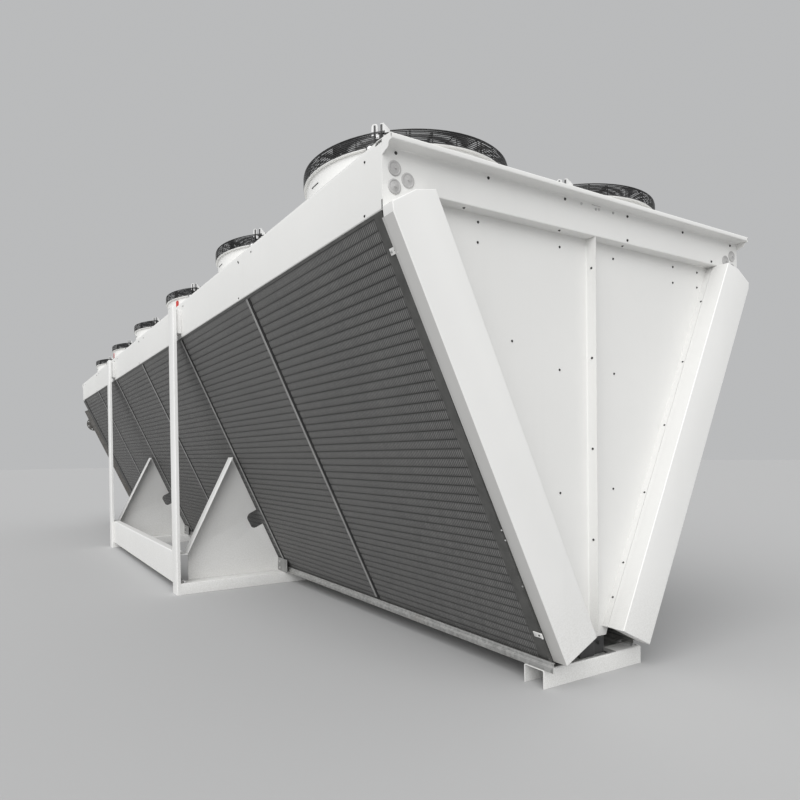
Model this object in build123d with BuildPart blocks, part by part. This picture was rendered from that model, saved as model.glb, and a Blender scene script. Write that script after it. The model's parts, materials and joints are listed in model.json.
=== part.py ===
"""Dry cooler: a V of two leaning finned coils under a fan plenum, six bays long.

Frame: +X across the unit, +Y along it, +Z up. The origin is at the middle of
the footprint, on the ground. The near end (with the white coil covers) faces
-Y, the connection end (with the headers) faces +Y.
"""
from build123d import *
import os
from math import atan2, cos, degrees, hypot, radians, sin

os.makedirs("parts", exist_ok=True)

# ---------------------------------------------------------------- dimensions
bay_pitch = 1404.0          # one pair of fans
bay_count = 6
end_bay = 200.0             # past the last bay, over the coils' return bends
plenum_length = bay_pitch * bay_count + end_bay
half_width = 1150.0         # outside of the side panels
sheet = 3.0                 # folded sheet metal

near_cover_depth = 64.0     # how far the coil covers stand in front
stub_reach = 195.0          # how far the pipe flanges stand behind
y_near = -(plenum_length + near_cover_depth + stub_reach) / 2 + near_cover_depth
y_far = y_near + plenum_length
y_coil_end = y_far - end_bay

z_panel_bottom = 1926.0     # lower edge of the side panels
z_deck = 2183.0             # top of the deck
z_beam_bottom = 2013.0      # underside of the end beams
z_lip_bottom = 2156.0       # underside of the lip
z_lip_top = 2178.0
lip_reach = 58.0
beam_depth = 52.0          # how far the V-shaped panel is set back

fan_x = 563.0
fan_throat_r = 460.0
cowl_r = 494.0
z_cowl_top = 2369.0
wall_plate = 1090.0         # square plate that carries one fan
guard_r = 510.0
z_guard_skirt = 2356.0      # the guard's lowest ring, around the cowl
z_guard_top = 2420.0
guard_plates = (38, 78, 118, 158, 198, 318, 358)   # where its wide plates stand
guard_pins = (238, 278)     # and its narrow ones
z_bracket_foot = 2333.0
z_bracket_bar = 2409.0
z_bracket_top = 2447.0
bracket_angle = 222.8       # where the terminal bracket stands on each cowl

coil_outer_top = (half_width, z_panel_bottom)
coil_outer_bottom = (300.0, 112.0)
coil_thickness = 130.0

foot_height = 84.0
foot_half_width = 331.0
foot_depth = 117.0
foot_setback = 22.0         # from the plenum's end face

frame_width = 136.0         # posts and base beams, along Y
frame_y = (y_near + 2773.0, y_near + 5693.0)   # near faces of the two frames
post_outer_x = 1217.0
post_fold = 27.5
z_post_top = 2150.0
rail_bottom = 58.0
rail_top = 303.0
rail_flange = 62.0

header_r = 57.15            # pipe of the headers and stubs
header_bore_r = 53.0
flange_r = 110.0
flange_thick = 22.0
flange_pcd = 180.0
flange_hole_r = 9.0

# direction down the coil face, and the normal that points out of the V
slope_x = coil_outer_top[0] - coil_outer_bottom[0]
slope_z = coil_outer_top[1] - coil_outer_bottom[1]
slope_length = hypot(slope_x, slope_z)
lean = atan2(slope_x, slope_z)


def face_point(side, down, inward=0.0):
    """A point in the XZ plane, measured down the coil face and into the coil."""
    x = half_width - down * sin(lean) - inward * cos(lean)
    z = z_panel_bottom - down * cos(lean) + inward * sin(lean)
    return (side * x, z)


def xz(y):
    """The XZ plane at a station along the unit; extrude(-h) runs towards +Y."""
    return Plane.XZ.offset(-y)


sides = ((-1, "left"), (1, "right"))
fan_points = [
    (side * fan_x, y_near + (bay + 0.5) * bay_pitch)
    for side in (-1, 1)
    for bay in range(bay_count)
]
left_fans, right_fans = fan_points[:bay_count], fan_points[bay_count:]


def finish(builder, name):
    """Label a finished piece and write its file."""
    builder.part.label = name
    export_step(builder.part, "parts/" + name + ".step")


# --------------------------------------------------------------- side panels
# A folded channel along the whole plenum, open towards the inside.
for side, word in sides:
    with BuildPart() as side_panel:
        with BuildSketch(xz(y_near + sheet)):
            with BuildLine():
                Polyline(
                    (side * half_width, z_panel_bottom),
                    (side * half_width, z_deck - sheet),
                    (side * (half_width - 60), z_deck - sheet),
                    (side * (half_width - 60), z_deck - 2 * sheet),
                    (side * (half_width - sheet), z_deck - 2 * sheet),
                    (side * (half_width - sheet), z_panel_bottom + sheet),
                    (side * (half_width - 25), z_panel_bottom + sheet),
                    (side * (half_width - 25), z_panel_bottom),
                    close=True,
                )
            make_face()
        extrude(amount=-(plenum_length - 2 * sheet))
        # the top fold stops short of the end beams
        for y0 in (y_near + 20, y_far - 20):
            with Locations((side * (half_width - sheet - 40), y0, z_deck - 8)):
                Box(80, 50, 14, mode=Mode.SUBTRACT)
    finish(side_panel, "side_panel_" + word)

# ----------------------------------------------------------------- end beams
# Folded sheet: an underside, an upright face, and a lip that turns out level
# and then up; shaped end plates close the lip's two ends.
lip_end = [
    (-1, z_lip_top - 1),
    (lip_reach, z_lip_top - 1),
    (lip_reach, z_lip_bottom - 3),
    (48, z_lip_bottom - 5),
    (41, z_lip_bottom - 12),
    (38, z_lip_bottom - 21),
    (31, z_lip_bottom - 26),
    (16, z_lip_bottom - 29),
    (-1, z_lip_bottom - 36),
]
for end, word in ((-1, "near"), (1, "far")):
    y_face = y_near if end < 0 else y_far
    outer = [
        (-beam_depth, z_beam_bottom),
        (0, z_beam_bottom),
        (0, z_lip_bottom),
        (lip_reach, z_lip_bottom),
        (lip_reach, z_lip_top),
        (-40, z_deck),
    ]
    inner = [
        (-40, z_deck - sheet),
        (lip_reach - sheet, z_lip_top - sheet),
        (lip_reach - sheet, z_lip_bottom + sheet),
        (-sheet, z_lip_bottom + sheet),
        (-sheet, z_beam_bottom + sheet),
        (-beam_depth, z_beam_bottom + sheet),
    ]
    with BuildPart() as end_beam:
        with BuildSketch(Plane.YZ.offset(-half_width)):
            with BuildLine():
                Polyline(
                    *[(y_face + end * a, b) for a, b in outer + inner], close=True
                )
            make_face()
        extrude(amount=2 * half_width)
        for x0 in (-half_width, half_width - sheet):
            with BuildSketch(Plane.YZ.offset(x0)):
                with BuildLine():
                    Polyline(
                        *[(y_face + end * a, b) for a, b in lip_end], close=True
                    )
                make_face()
            extrude(amount=sheet)
        # tabs that close the corners down to the side panels' lower edges
        for side in (-1, 1):
            with Locations(
                (
                    side * (half_width + 962) / 2,
                    y_face - end * sheet / 2,
                    (z_panel_bottom + z_beam_bottom + 2) / 2,
                )
            ):
                Box(half_width - 962, sheet, z_beam_bottom + 2 - z_panel_bottom)
        # room for the side panels at the beam's two ends
        for side in (-1, 1):
            with Locations(
                (side * half_width, y_face - end * (sheet + 60), z_beam_bottom + 60)
            ):
                Box(2 * sheet, 120, 240, mode=Mode.SUBTRACT)
    finish(end_beam, "end_beam_" + word)

# ---------------------------------------------------------------------- deck
# Strips that frame the square wall plates of the fans.
strip_outer = half_width - sheet
strip_inner = fan_x + wall_plate / 2
centre_half = fan_x - wall_plate / 2
for side, word in sides:
    with BuildPart() as deck_side_strip:
        with Locations(
            (side * (strip_outer + strip_inner) / 2, (y_near + y_far) / 2, z_deck - sheet / 2)
        ):
            Box(strip_outer - strip_inner, plenum_length - 84, sheet)
    finish(deck_side_strip, "deck_side_strip_" + word)

cross_gap = bay_pitch - wall_plate
with BuildPart() as deck_cross_panels:
    for i in range(bay_count + 1):
        y0 = y_near + i * bay_pitch - cross_gap / 2
        y1 = y0 + cross_gap
        y0, y1 = max(y0, y_near + 42), min(y1, y_far - 42)
        with Locations((0, (y0 + y1) / 2, z_deck - sheet / 2)):
            Box(2 * strip_inner, y1 - y0, sheet)
finish(deck_cross_panels, "deck_cross_panels")

with BuildPart() as deck_centre_strips:
    for i in range(bay_count):
        with Locations((0, y_near + (i + 0.5) * bay_pitch, z_deck - sheet / 2)):
            Box(2 * centre_half, wall_plate, sheet)
finish(deck_centre_strips, "deck_centre_strips")

# ----------------------------------------------------------------- fan cowls
# Square wall plate, drawn throat and straight rolled cowl, pressed as one in
# four quarters that meet on the diagonals.
with BuildPart(mode=Mode.PRIVATE) as one_cowl:
    with BuildSketch(Plane.XY.offset(z_deck - sheet)):
        Rectangle(wall_plate, wall_plate)
        Circle(fan_throat_r, mode=Mode.SUBTRACT)
    extrude(amount=sheet)
    with BuildSketch(Plane.XZ):
        with BuildLine():
            Polyline(
                (fan_throat_r, z_deck - sheet),
                (fan_throat_r, z_deck + 92),
                (cowl_r - 3, z_cowl_top - 8),
                (cowl_r - 3, z_cowl_top),
                (cowl_r, z_cowl_top),
                (cowl_r, z_guard_skirt - 2),
                (cowl_r + 13, z_guard_skirt - 2),
                (cowl_r + 13, z_guard_skirt - 5),
                (cowl_r, z_guard_skirt - 5),
                (cowl_r, z_deck - sheet),
                (cowl_r - 3, z_deck - sheet),
                (cowl_r - 3, z_cowl_top - 13),
                (fan_throat_r + 3, z_deck + 91),
                (fan_throat_r + 3, z_deck - sheet),
                close=True,
            )
        make_face()
    revolve(axis=Axis.Z)
    # four quarters with a hairline joint on each diagonal
    with Locations(
        Location((0, 0, z_deck + 90), (0, 0, 45)),
        Location((0, 0, z_deck + 90), (0, 0, 135)),
    ):
        Box(1700, 1, 300, mode=Mode.SUBTRACT)

for points, word in ((left_fans, "left"), (right_fans, "right")):
    with BuildPart() as fan_cowls:
        with Locations(*[(x, y, 0) for x, y in points]):
            add(one_cowl.part)
    finish(fan_cowls, "fan_cowls_" + word)

# ---------------------------------------------------------------- fan guards
# A ring around the cowl, a flat top of rings and arms, and upright plates
# between them whose tabs rest on the cowl's rim. The wires are finer than this.
z_guard_flat = z_guard_top - 8
with BuildPart(mode=Mode.PRIVATE) as one_guard:
    with BuildSketch(Plane.XY.offset(z_guard_skirt)):
        Circle(guard_r)
        Circle(guard_r - 12, mode=Mode.SUBTRACT)
    extrude(amount=6)
    with BuildSketch(Plane.XY.offset(z_guard_flat)):
        Circle(guard_r)
        Circle(guard_r - 14, mode=Mode.SUBTRACT)
        Circle(330)
        Circle(318, mode=Mode.SUBTRACT)
        Circle(125)
        Circle(60, mode=Mode.SUBTRACT)
        with PolarLocations(304, 7, start_angle=-8):
            Rectangle(392, 8)
    extrude(amount=8)
    for plate in guard_plates + guard_pins:
        with PolarLocations(guard_r - 4, 1, start_angle=plate):
            with Locations((0, 0, (z_guard_skirt + z_guard_top) / 2)):
                Box(4, 44 if plate in guard_plates else 8, z_guard_top - z_guard_skirt - 4)
            with Locations((-10, 0, z_cowl_top + 2)):
                Box(20, 30 if plate in guard_plates else 8, 4)

for points, word in ((left_fans, "left"), (right_fans, "right")):
    with BuildPart() as fan_guards:
        with Locations(*[(x, y, 0) for x, y in points]):
            add(one_guard.part)
    finish(fan_guards, "fan_guards_" + word)

# -------------------------------------------------- motors, and fan wheels
with BuildPart(mode=Mode.PRIVATE) as one_motor:
    with BuildSketch(Plane.XY.offset(z_deck + 128)):
        Circle(98)
    extrude(amount=z_guard_flat - z_deck - 128)
    fillet(one_motor.faces().sort_by(Axis.Z)[0].edges(), 8)

with BuildPart() as fan_motors:
    with Locations(*[(x, y, 0) for x, y in fan_points]):
        add(one_motor.part)
finish(fan_motors, "fan_motors")

with BuildPart(mode=Mode.PRIVATE) as one_impeller:
    with BuildSketch(Plane.XY.offset(z_deck + 30)):
        Circle(125)
    extrude(amount=96)
    with PolarLocations(282, 7):
        with Locations(Location((0, 0, z_deck + 78), (24, 0, 0))):
            Box(330, 175, 6)

with BuildPart() as fan_impellers:
    with Locations(*[(x, y, 0) for x, y in fan_points]):
        add(one_impeller.part)
finish(fan_impellers, "fan_impellers")

# -------------------------------------------------------------- fan brackets
# Upright pair of round-topped plates on a foot that is fixed to the cowl; it
# carries the fan's terminals.
bracket_x = guard_r + 2
with BuildPart(mode=Mode.PRIVATE) as one_bracket:
    with Locations(((cowl_r + bracket_x + 4) / 2, -7, z_bracket_foot - 4)):
        Box(bracket_x + 4 - cowl_r, 94, 5)
    with BuildSketch(Plane.YZ.offset(bracket_x)):
        with Locations((-7, z_bracket_foot + 12)):
            Rectangle(94, 37)
        with Locations((0, z_bracket_bar - 1)):
            Rectangle(60, 10)
        for middle in (-15, 15):
            with Locations((middle, (z_bracket_foot + z_bracket_top - 16) / 2)):
                Rectangle(9, z_bracket_top - 16 - z_bracket_foot)
        with Locations((-15, z_bracket_top - 33)):
            Rectangle(28, 34)
        with Locations((-15, z_bracket_top - 14)):
            Circle(14)
        with BuildLine():
            Polyline(
                (10.5, z_bracket_bar - 6),
                (10.5, z_bracket_top - 1),
                (24, z_bracket_top - 1),
                (52, z_bracket_bar + 2),
                (52, z_bracket_bar - 6),
                close=True,
            )
        make_face()
    extrude(amount=4)
    for middle in (-15, 15):
        with Locations((bracket_x + 9, middle, z_bracket_foot + 42)):
            Box(12, 4, 66)

with BuildPart() as fan_brackets:
    with Locations(*[Location((x, y, 0), (0, 0, bracket_angle)) for x, y in fan_points]):
        add(one_bracket.part)
finish(fan_brackets, "fan_brackets")

# --------------------------------------------------------------------- coils
for side, word in sides:
    with BuildPart() as coil:
        with BuildSketch(xz(y_near + 16)):
            with BuildLine():
                Polyline(
                    face_point(side, 15),
                    face_point(side, slope_length),
                    face_point(side, slope_length, coil_thickness),
                    face_point(side, 15, coil_thickness),
                    close=True,
                )
            make_face()
        extrude(amount=-(y_coil_end - y_near - 20))
    finish(coil, "coil_" + word)

    # bars over the joints between coil sections, at the bay boundaries
    with BuildPart() as coil_dividers:
        for i in range(1, bay_count):
            with BuildSketch(xz(y_near + i * bay_pitch - 6)):
                with BuildLine():
                    Polyline(
                        face_point(side, 17),
                        face_point(side, slope_length - 30),
                        face_point(side, slope_length - 30, -8),
                        face_point(side, 17, -8),
                        close=True,
                    )
                make_face()
            extrude(amount=-34)
    finish(coil_dividers, "coil_dividers_" + word)

    # galvanised trough that the coil stands in; its folded lip starts before
    # its floor
    y_floor = y_near + (24 if side < 0 else 95)
    y_lip = y_near - 28 if side < 0 else y_near + 60
    lip = [
        (side * foot_half_width, foot_height),
        (side * foot_half_width, foot_height + 24),
        (side * (foot_half_width - 5), foot_height + 28),
        (side * (foot_half_width - 5), foot_height + 44),
        (side * (foot_half_width - 14), foot_height + 44),
        (side * (foot_half_width - 14), foot_height + 41),
        (side * (foot_half_width - 5 - sheet), foot_height + 41),
        (side * (foot_half_width - 5 - sheet), foot_height + 27),
        (side * (foot_half_width - sheet), foot_height + 23),
    ]
    with BuildPart() as coil_bottom_rail:
        with BuildSketch(xz(y_lip)):
            with BuildLine():
                Polyline(
                    *lip, (side * (foot_half_width - sheet), foot_height), close=True
                )
            make_face()
        extrude(amount=-(y_far - 6 - y_lip))
        with BuildSketch(xz(y_floor)):
            with BuildLine():
                Polyline(
                    (side * 150, foot_height),
                    (side * foot_half_width, foot_height),
                    (side * foot_half_width, foot_height + sheet),
                    (side * 150, foot_height + sheet),
                    close=True,
                )
            make_face()
        extrude(amount=-(y_far - 6 - y_floor))
    finish(coil_bottom_rail, "coil_bottom_rail_" + word)

with BuildPart() as bottom_tray:
    with Locations((0, (y_near + y_far) / 2, foot_height + sheet / 2)):
        Box(300, plenum_length - 48, sheet)
finish(bottom_tray, "bottom_tray")

# ---------------------------------------------------------------- end covers
# Folded U over the near end of each coil; its inner side runs back to the
# V-shaped panel.
cover_profile = [
    (1150.0, 1932.0),
    (1047.0, 1993.0),
    (955.0, 2012.0),
    (90.0, 211.0),
    (281.0, 118.0),
    (1146.0, 1896.0),
]
for side, word in sides:
    profile = [(side * x, z) for x, z in cover_profile]
    inner_top, inner_bottom = profile[2], profile[3]
    outer_bottom, outer_top = profile[4], profile[5]
    with BuildPart() as end_cover:
        with BuildSketch(xz(y_near - near_cover_depth)):
            with BuildLine():
                Polyline(*profile, close=True)
            make_face()
        extrude(amount=-near_cover_depth)
        with BuildSketch(xz(y_near - near_cover_depth + sheet)) as hollow:
            with BuildLine():
                Polyline(*profile, close=True)
            make_face()
            offset(amount=-sheet, kind=Kind.INTERSECTION, mode=Mode.REPLACE)
        extrude(amount=-near_cover_depth, mode=Mode.SUBTRACT)
        with BuildSketch(xz(y_near - 0.5)):
            with BuildLine():
                Polyline(
                    inner_top,
                    inner_bottom,
                    (inner_bottom[0] + side * sheet, inner_bottom[1] - sheet * 0.4),
                    (inner_top[0] + side * sheet, inner_top[1] - sheet * 0.4),
                    close=True,
                )
            make_face()
        extrude(amount=-(beam_depth + 0.5))
        # its outer side laps the coil's end
        with BuildSketch(xz(y_near - 0.5)):
            with BuildLine():
                Polyline(
                    outer_top,
                    outer_bottom,
                    (outer_bottom[0] - side * sheet, outer_bottom[1] + sheet * 0.4),
                    (outer_top[0] - side * sheet, outer_top[1] + sheet * 0.4),
                    close=True,
                )
            make_face()
        extrude(amount=-12.5)
    finish(end_cover, "end_cover_" + word)

# ------------------------------------------- far coil ends and their headers
# Each coil ends in a folded casing that covers its return bends.
for side, word in sides:
    with BuildPart() as coil_end_casing:
        with BuildSketch(xz(y_coil_end + 24)):
            with BuildLine():
                Polyline(
                    face_point(side, 16, -2),
                    face_point(side, slope_length, -2),
                    face_point(side, slope_length, coil_thickness),
                    face_point(side, 16, coil_thickness),
                    close=True,
                )
            make_face()
        extrude(amount=-(y_far - 4 - y_coil_end - 24))
        with BuildSketch(xz(y_coil_end + 24)):
            with BuildLine():
                Polyline(
                    face_point(side, 16 + sheet, sheet - 2),
                    face_point(side, slope_length - sheet, sheet - 2),
                    face_point(side, slope_length - sheet, coil_thickness - sheet),
                    face_point(side, 16 + sheet, coil_thickness - sheet),
                    close=True,
                )
            make_face()
        extrude(amount=-(y_far - 4 - y_coil_end - 24 - sheet), mode=Mode.SUBTRACT)
        # plate at the end of the fins
        with BuildSketch(xz(y_coil_end - 4)):
            with BuildLine():
                Polyline(
                    face_point(side, 22, 4),
                    face_point(side, slope_length - 6, 4),
                    face_point(side, slope_length - 6, coil_thickness - 4),
                    face_point(side, 22, coil_thickness - 4),
                    close=True,
                )
            make_face()
        extrude(amount=-4)
    finish(coil_end_casing, "coil_end_casing_" + word)

header_y = y_far + 95.0
flange_face_y = y_far + stub_reach
header_top, header_bottom = 160.0, slope_length - 160.0
for kind, inward, stub_down in (("outlet", 14.0, None), ("inlet", coil_thickness + 8.0, None)):
    stub_z = 1575.0 if kind == "outlet" else 560.0
    stub_down = (z_panel_bottom + inward * sin(lean) - stub_z) / cos(lean)
    for side, word in sides:
        top = face_point(side, header_top, inward)
        bottom = face_point(side, header_bottom, inward)
        stub = face_point(side, stub_down, inward)
        run = Vector(bottom[0] - top[0], 0, bottom[1] - top[1])
        header_plane = Plane(
            origin=(top[0], header_y, top[1]), x_dir=(0, 1, 0), z_dir=run.normalized()
        )
        with BuildPart() as header:
            with BuildSketch(header_plane):
                Circle(header_r)
            extrude(amount=run.length)
            with BuildSketch(xz(header_y)):
                with Locations(stub):
                    Circle(header_r)
            extrude(amount=-(flange_face_y - header_y))
            with BuildSketch(xz(flange_face_y - flange_thick)):
                with Locations(stub):
                    Circle(flange_r)
            extrude(amount=-flange_thick)
            # feeder tubes out of the coil's end casing
            with BuildSketch(xz(y_far - 4)):
                with Locations(
                    *[
                        face_point(side, header_top + 90 + k * 235.0, min(inward, 120.0))
                        for k in range(7)
                    ]
                ):
                    Circle(9)
            extrude(amount=-(header_y - y_far + 4))
            with BuildSketch(header_plane.offset(4)):
                Circle(header_bore_r)
            extrude(amount=run.length - 8, mode=Mode.SUBTRACT)
            with BuildSketch(xz(header_y)):
                with Locations(stub):
                    Circle(header_bore_r)
            extrude(amount=-(flange_face_y - header_y), mode=Mode.SUBTRACT)
            with BuildSketch(xz(flange_face_y - flange_thick)):
                with Locations(stub):
                    with PolarLocations(flange_pcd / 2, 8, start_angle=22.5):
                        Circle(flange_hole_r)
            extrude(amount=-flange_thick, mode=Mode.SUBTRACT)
        finish(header, kind + "_header_" + word)
        print(kind, word, "stub centre", stub)

# ---------------------------------------------------------------- end panels
# V-shaped sheet between the coils, with one folded rib down its middle.
for end, word in ((-1, "near"), (1, "far")):
    y_sheet = y_near + beam_depth if end < 0 else y_far - beam_depth
    with BuildPart() as end_panel:
        with BuildSketch(xz(y_sheet if end < 0 else y_sheet - sheet)):
            with BuildLine():
                Polyline(
                    (-1044, z_beam_bottom),
                    (-178.1, 165),
                    (178.1, 165),
                    (1044, z_beam_bottom),
                    close=True,
                )
            make_face()
        extrude(amount=-sheet)
        with BuildSketch(Plane.YZ.offset(-sheet / 2)):
            with BuildLine():
                Polyline(
                    (y_sheet, z_beam_bottom),
                    (y_sheet + end * beam_depth, z_beam_bottom),
                    (y_sheet + end * beam_depth, 217),
                    (y_sheet, 196),
                    close=True,
                )
            make_face()
        extrude(amount=sheet)
    finish(end_panel, "end_panel_" + word)

# ------------------------------------------------------------------ end feet
# Inverted channels across the two ends.
for y0, word in (
    (y_near + foot_setback, "near"),
    (y_far - foot_setback - foot_depth, "far"),
):
    with BuildPart() as end_foot:
        with BuildSketch(Plane.YZ.offset(-foot_half_width)):
            with BuildLine():
                Polyline(
                    (y0, 0),
                    (y0, foot_height),
                    (y0 + foot_depth, foot_height),
                    (y0 + foot_depth, 0),
                    (y0 + foot_depth - 5, 0),
                    (y0 + foot_depth - 5, foot_height - 5),
                    (y0 + 5, foot_height - 5),
                    (y0 + 5, 0),
                    close=True,
                )
            make_face()
        extrude(amount=2 * foot_half_width)
    finish(end_foot, "end_foot_" + word)

# --------------------------------------------------------------- side frames
post_inner_x = post_outer_x - post_fold
gusset_notch = [(1466, -40), (1466, 70)]
for centre, start in ((1504, 180), (1558, 90)):
    gusset_notch += [
        (centre + 38 * cos(radians(start - a)), 70 + 38 * sin(radians(start - a)))
        for a in (0, 22.5, 45, 67.5, 90)
    ][1:]
gusset_notch += [(1596, -40)]
for number, y0 in enumerate(frame_y, start=1):
    y1 = y0 + frame_width
    # ground channel, from post to post under the coils
    with BuildPart() as base_beam:
        with BuildSketch(Plane.YZ.offset(-post_inner_x)):
            with BuildLine():
                Polyline(
                    (y0, 0),
                    (y0, foot_height),
                    (y1, foot_height),
                    (y1, foot_height - 5),
                    (y0 + 5, foot_height - 5),
                    (y0 + 5, 5),
                    (y1, 5),
                    (y1, 0),
                    close=True,
                )
            make_face()
        extrude(amount=2 * post_inner_x)
        with Locations(
            (-1090, (y0 + y1) / 2, 5), (1090, (y0 + y1) / 2, 5)
        ):
            Hole(9, depth=5)
    finish(base_beam, "base_beam_" + str(number))

    for side, word in sides:
        # post: web outwards, two folds inwards
        with BuildPart() as post:
            with BuildSketch(Plane.XY):
                with BuildLine():
                    Polyline(
                        (side * post_outer_x, y0),
                        (side * post_outer_x, y1),
                        (side * post_inner_x, y1),
                        (side * post_inner_x, y1 - 4),
                        (side * (post_outer_x - 4), y1 - 4),
                        (side * (post_outer_x - 4), y0 + 4),
                        (side * post_inner_x, y0 + 4),
                        (side * post_inner_x, y0),
                        close=True,
                    )
                make_face()
            extrude(amount=z_post_top)
        finish(post, "post_" + word + "_" + str(number))

        # gusset: upright plate with a fold along its outer slanted edge and a
        # round-cornered notch in its edge at the coil
        with BuildPart() as gusset:
            with BuildSketch(xz(y1 - 5)):
                with BuildLine():
                    Polyline(
                        (side * 762, 1024),
                        (side * 1125, 304),
                        (side * 1098, 292),
                        (side * 1098, foot_height),
                        (side * 347, foot_height),
                        (side * 347, 190),
                        (side * 734, 1024),
                        close=True,
                    )
                make_face()
                # notch, square to the coil face, with round corners
                with BuildLine():
                    Polyline(
                        *[face_point(side, s, -d) for s, d in gusset_notch], close=True
                    )
                make_face(mode=Mode.SUBTRACT)
            extrude(amount=-5)
            with BuildSketch(xz(y1 - 100)):
                with BuildLine():
                    Polyline(
                        (side * 762, 1024),
                        (side * 1125, 304),
                        (side * 1119.4, 304),
                        (side * 756.4, 1024),
                        close=True,
                    )
                make_face()
            extrude(amount=-96)
            # short fold beside the coil's foot
            with Locations((side * 349, y1 - 52, (foot_height + 190) / 2)):
                Box(4, 96, 190 - foot_height)
        finish(gusset, "gusset_" + word + "_" + str(number))

for side, word in sides:
    x_web = side * (post_inner_x - 0.5)
    with BuildPart() as side_rail:
        with BuildSketch(xz(frame_y[0] + 14)):
            with BuildLine():
                Polyline(
                    (x_web, rail_bottom),
                    (x_web, rail_top),
                    (x_web - side * rail_flange, rail_top),
                    (x_web - side * rail_flange, rail_top - 4),
                    (x_web - side * 4, rail_top - 4),
                    (x_web - side * 4, foot_height + 4),
                    (x_web - side * 4, rail_bottom),
                    close=True,
                )
            make_face()
        extrude(amount=-(frame_y[1] - frame_y[0] + frame_width - 28))
        # clear the ends of the ground channels
        for y0 in frame_y:
            with Locations((x_web, y0 + frame_width / 2, rail_bottom)):
                Box(12, frame_width + 4, 2 * (foot_height - rail_bottom), mode=Mode.SUBTRACT)
    finish(side_rail, "side_rail_" + word)

with BuildPart() as post_packers:
    for y0 in frame_y:
        for side in (-1, 1):
            with Locations(
                (side * (half_width + post_inner_x) / 2, y0 + frame_width / 2, 2045)
            ):
                Box(post_inner_x - half_width, frame_width - 30, 180)
finish(post_packers, "post_packers")
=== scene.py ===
import json
from math import atan2, cos, hypot, pi, radians, sin, sqrt, tan

import bpy
import bmesh
import numpy as np
from mathutils import Matrix, Vector


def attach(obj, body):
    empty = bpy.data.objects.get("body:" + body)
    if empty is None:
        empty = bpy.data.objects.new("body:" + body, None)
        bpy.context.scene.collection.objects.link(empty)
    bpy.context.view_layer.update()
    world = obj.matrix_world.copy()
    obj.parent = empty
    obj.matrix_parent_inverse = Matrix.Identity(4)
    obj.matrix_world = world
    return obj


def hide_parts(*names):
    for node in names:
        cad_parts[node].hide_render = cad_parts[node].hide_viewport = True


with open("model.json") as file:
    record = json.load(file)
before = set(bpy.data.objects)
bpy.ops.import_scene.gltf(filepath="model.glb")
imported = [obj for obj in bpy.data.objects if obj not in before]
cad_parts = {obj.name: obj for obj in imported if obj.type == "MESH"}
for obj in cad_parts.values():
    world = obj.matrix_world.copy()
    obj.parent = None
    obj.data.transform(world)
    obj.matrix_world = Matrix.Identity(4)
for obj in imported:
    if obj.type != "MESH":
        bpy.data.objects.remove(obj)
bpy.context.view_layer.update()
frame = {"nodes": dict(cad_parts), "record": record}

# ------------------------------------------------------------ driving sizes (m)
PITCH, BAYS = 1.404, 6
YN, YF = -4.3775, 4.2465
COIL_END = YF - 0.200
HALF = 1.150
T = 0.003
Z_PANEL, Z_DECK, Z_BEAM = 1.926, 2.183, 2.013
Z_LIP, Z_LIP_TOP, LIP = 2.156, 2.178, 0.058
FAN_X, THROAT, COWL_R, Z_COWL, PLATE = 0.563, 0.460, 0.494, 2.369, 1.090
GUARD_R, Z_SKIRT, Z_GUARD, Z_BRACKET = 0.510, 2.356, 2.420, 2.4469
Z_FOOT, Z_BAR = 2.333, 2.409
SETBACK = 0.052
ROW, ROW_AT = 0.0431, 0.0172
FRAMES = (YN + 2.773, YN + 5.693)
FRAME_W, POST_X, POST_FOLD, POST_TOP = 0.136, 1.217, 0.0275, 2.150
POST_IN = POST_X - POST_FOLD
COIL_T = 0.130
LEAN = atan2(0.850, 1.814)
SLOPE = hypot(0.850, 1.814)
FANS = [(s * FAN_X, YN + (n + 0.5) * PITCH) for s in (-1, 1) for n in range(BAYS)]


def face(side, down, y, inward=0.0):
    """A point on or behind a coil's outer face."""
    x = HALF - down * sin(LEAN) - inward * cos(LEAN)
    z = Z_PANEL - down * cos(LEAN) + inward * sin(LEAN)
    return (side * x, y, z)


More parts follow.
